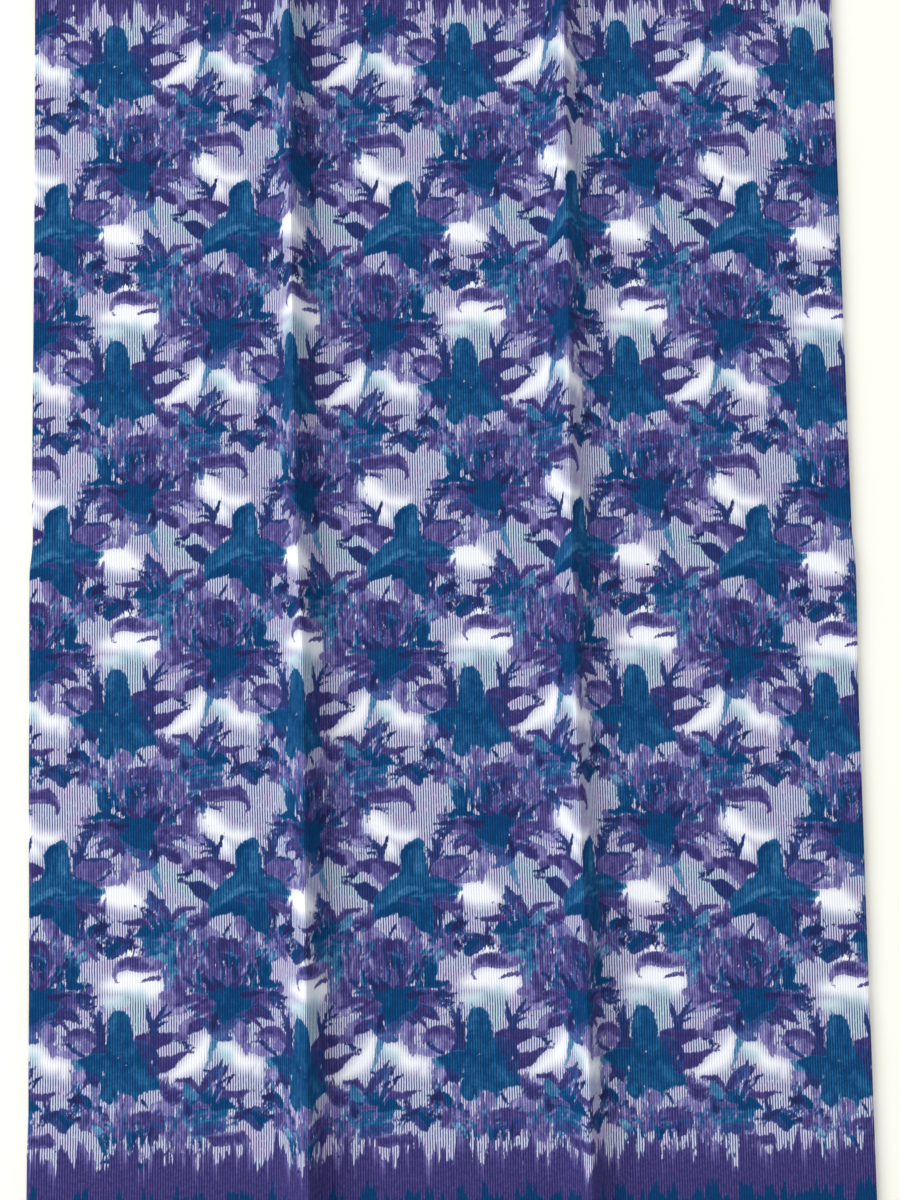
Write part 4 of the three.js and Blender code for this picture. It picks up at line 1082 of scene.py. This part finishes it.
def layer_height(layer, x, y):
    """Middle height of a layer: its place in the pack, and its share of the top's rise."""
    base = LAYER_HEIGHTS[layer - 1]
    share = ((base - LAYER_HEIGHTS[-1]) / (LAYER_HEIGHTS[0] - LAYER_HEIGHTS[-1])) ** RISE_POWER
    rise = level_height(x, y) + ridges_height(x, y) - PACK_HEIGHT
    return base + share * rise


def edge_wave(layer, y):
    """How far one layer's edge wanders from a straight line at y."""
    turns = 2 * math.pi * y / EDGE_WAVE["length"] + EDGE_WAVE["shift"] * layer
    return EDGE_WAVE["height"] * np.sin(turns)


def left_end(layer, y):
    """X of a layer's left end, or of its turn's middle. The last two layers share a turn."""
    x = left_edge(y) + LEFT_INSETS[layer]
    if layer in UPPER_BLOCK:
        return x
    peek = PEEK["out"] * (1 - smoothstep(y, PEEK["full"], PEEK["from"]))
    return x + (edge_wave(min(layer, LAYERS - 1), y) - peek)


def right_end(y):
    """X of every layer's right end, where its turn begins."""
    return right_edge(y) - RIGHT_FOLD_RADIUS


def layer_columns():
    """Shares from a layer's left end to its right one, close together on the ridges."""
    x = np.arange(-HALF_WIDTH, HALF_WIDTH, 0.5)
    near = sum(np.exp(-((x - ridge) / NEAR_RIDGES["reach"]) ** 2) for ridge in NEAR_RIDGES["x"])
    pace = np.cumsum(NEAR_RIDGES["elsewhere"] + NEAR_RIDGES["pace"] * near)
    pace = (pace - pace[0]) / (pace[-1] - pace[0])
    return np.interp(np.linspace(0, 1, LAYER_COLUMNS), pace, (x - x[0]) / (x[-1] - x[0]))


def band(layers, rightward):
    """Middle surface of a band of cloth that runs through these layers, turning round at the
    end of each. rightward says which way it starts. Rows run from selvedge to selvedge."""
    rows = np.unique(np.concatenate([
        np.linspace(-1, 1, LAYER_ROWS), (CROSS_CREASE["y"] + NEAR_CREASE) / HALF_LENGTH,
    ]))[:, None]
    shares = layer_columns()
    parts = []
    for number, layer in enumerate(layers):
        y = rows * (HALF_LENGTH - END_INSETS[layer - 1])
        left, right = left_end(layer, y), right_end(y)
        order = shares if rightward else shares[::-1]
        x = left + (right - left) * order
        parts.append(np.stack([x, y + 0 * x, layer_height(layer, x, y)], -1))
        if number + 1 < len(layers):
            after = layers[number + 1]
            side = 1 if rightward else -1
            middle = (LAYER_HEIGHTS[layer - 1] + LAYER_HEIGHTS[after - 1]) / 2
            radius = LAYER_HEIGHTS[layer - 1] - middle
            angle = np.linspace(0, math.pi, TURN_STEPS + 1)[1:-1]
            start = right if rightward else left
            mix = (1 - np.cos(angle)) / 2
            inset = END_INSETS[layer - 1] * (1 - mix) + END_INSETS[after - 1] * mix
            x = start + side * abs(radius) * np.sin(angle)
            parts.append(np.stack([x, rows * (HALF_LENGTH - inset),
                                   middle + radius * np.cos(angle) + 0 * x], -1))
        rightward = not rightward
    return np.concatenate(parts, axis=1)


EDGE_PATCHES = (                                # spots per mm, and the share that stays bare
    ("teal", 0.034, 0.53), ("purple", 0.052, 0.52), ("navy", 0.071, 0.58),
)
EDGE_BORDERS = ((BORDER["purple"], "#4C3A82"), (BORDER["teal"], "#1D6A99"))
EDGE_FRAY = 0.7                                 # spots per mm
EDGE_LINES = {"From_Min": 0.1, "From_Max": -0.7}        # heights of a cord, as for the top
EDGE_RAGGED = {"patch": 0.12, "border": 20}     # what the fraying adds, the second in mm
PATCH_EDGE = (0.05, 0.07)                       # over the bare share, where a patch sets in
PATCH_SHIFT = (3.1, 1.7)                        # between the inks' noises, so that they differ
BORDER_EDGE = (9, 10)                           # mm past a border's line, less the fraying


def folded_cotton():
    """The same print as patches of its colours, for the thin edges that show."""
    material, tree = new_material("printed_cotton_edges")
    cloth = add_node(tree, "UVMap", {"uv_map": "cloth"}).outputs["UV"]
    place = add_node(tree, "SeparateXYZ", Vector=cloth)
    turns = add_node(tree, "Math", TIMES, i0=place.outputs[0],
                     i1=2 * math.pi / (CORD_PITCH * MM)).outputs[0]
    cord = add_node(tree, "Math", COSINE, i0=turns).outputs[0]
    line = add_node(tree, "MapRange", EASED, Value=cord, **EDGE_LINES).outputs[0]
    fray = add_node(tree, "TexNoise", NOISE, Vector=cloth, Scale=EDGE_FRAY / MM,
                    Detail=2.0).outputs[0]
    shade = add_node(tree, "Mix", COLOURS, i0=line, i6=linear(GROUND_CORD),
                     i7=linear(GROUND_LINE)).outputs[2]
    for k, (name, per_mm, bare) in enumerate(EDGE_PATCHES):
        moved = add_node(tree, "Mapping", Vector=cloth,
                         Location=(PATCH_SHIFT[0] * k, PATCH_SHIFT[1] * k, 0)).outputs[0]
        patch = add_node(tree, "TexNoise", NOISE, Vector=moved, Scale=per_mm / MM,
                         Detail=3.0).outputs[0]
        patch = add_node(tree, "Math", TIMES_PLUS, i0=fray, i1=EDGE_RAGGED["patch"],
                         i2=patch).outputs[0]
        cover = add_node(tree, "MapRange", EASED, Value=patch, From_Min=bare + PATCH_EDGE[0],
                         From_Max=bare + PATCH_EDGE[1]).outputs[0]
        ink = add_node(tree, "ValToRGB", Fac=fray)
        set_stops(ink.color_ramp, INK_COLOURS[name])
        shade = add_node(tree, "Mix", COLOURS, i0=cover, i6=shade, i7=ink.outputs["Color"]).outputs[2]
    out = add_node(tree, "Math", SIZE, i0=place.outputs[1]).outputs[0]
    ragged = add_node(tree, "Math", TIMES_PLUS, i0=fray, i1=EDGE_RAGGED["border"] * MM,
                      i2=out).outputs[0]
    for edge, colour in EDGE_BORDERS:
        cover = add_node(tree, "MapRange", EASED, Value=ragged,
                         From_Min=(edge + BORDER_EDGE[0]) * MM,
                         From_Max=(edge + BORDER_EDGE[1]) * MM).outputs[0]
        shade = add_node(tree, "Mix", COLOURS, i0=cover, i6=shade, i7=linear(colour)).outputs[2]
    finish_material(tree, add_node(
        tree, "BsdfPrincipled", Base_Color=shade, Roughness=0.9, Specular_IOR_Level=0.2,
    ))
    return material


edges = folded_cotton()
BANDS = {                                       # the layers that each runs through, in order
    "folded_layers_outer": ((8, 7, 2, 3, 6), False),
    "folded_layers_inner": ((4, 5), True),
}
for name, (layers, rightward) in BANDS.items():
    middle = band(layers, rightward)
    outer = offset_inward(*np.moveaxis(middle, -1, 0), -THREAD_WALL / 2)
    inner = offset_inward(*np.moveaxis(middle, -1, 0), THREAD_WALL / 2)
    mesh = shell_mesh(name, outer, inner, 1)
    steps = np.hypot(*np.moveaxis(np.diff(middle[..., ::2], axis=1), -1, 0))
    along = np.hstack([np.zeros((len(steps), 1)), np.cumsum(steps, axis=1)])
    u, v = np.tile(along.ravel(), 2), np.tile(middle[..., 1].ravel(), 2)
    set_cloth_map(mesh, u, v)
    piece = add_piece(mesh, edges, "folded_layers")
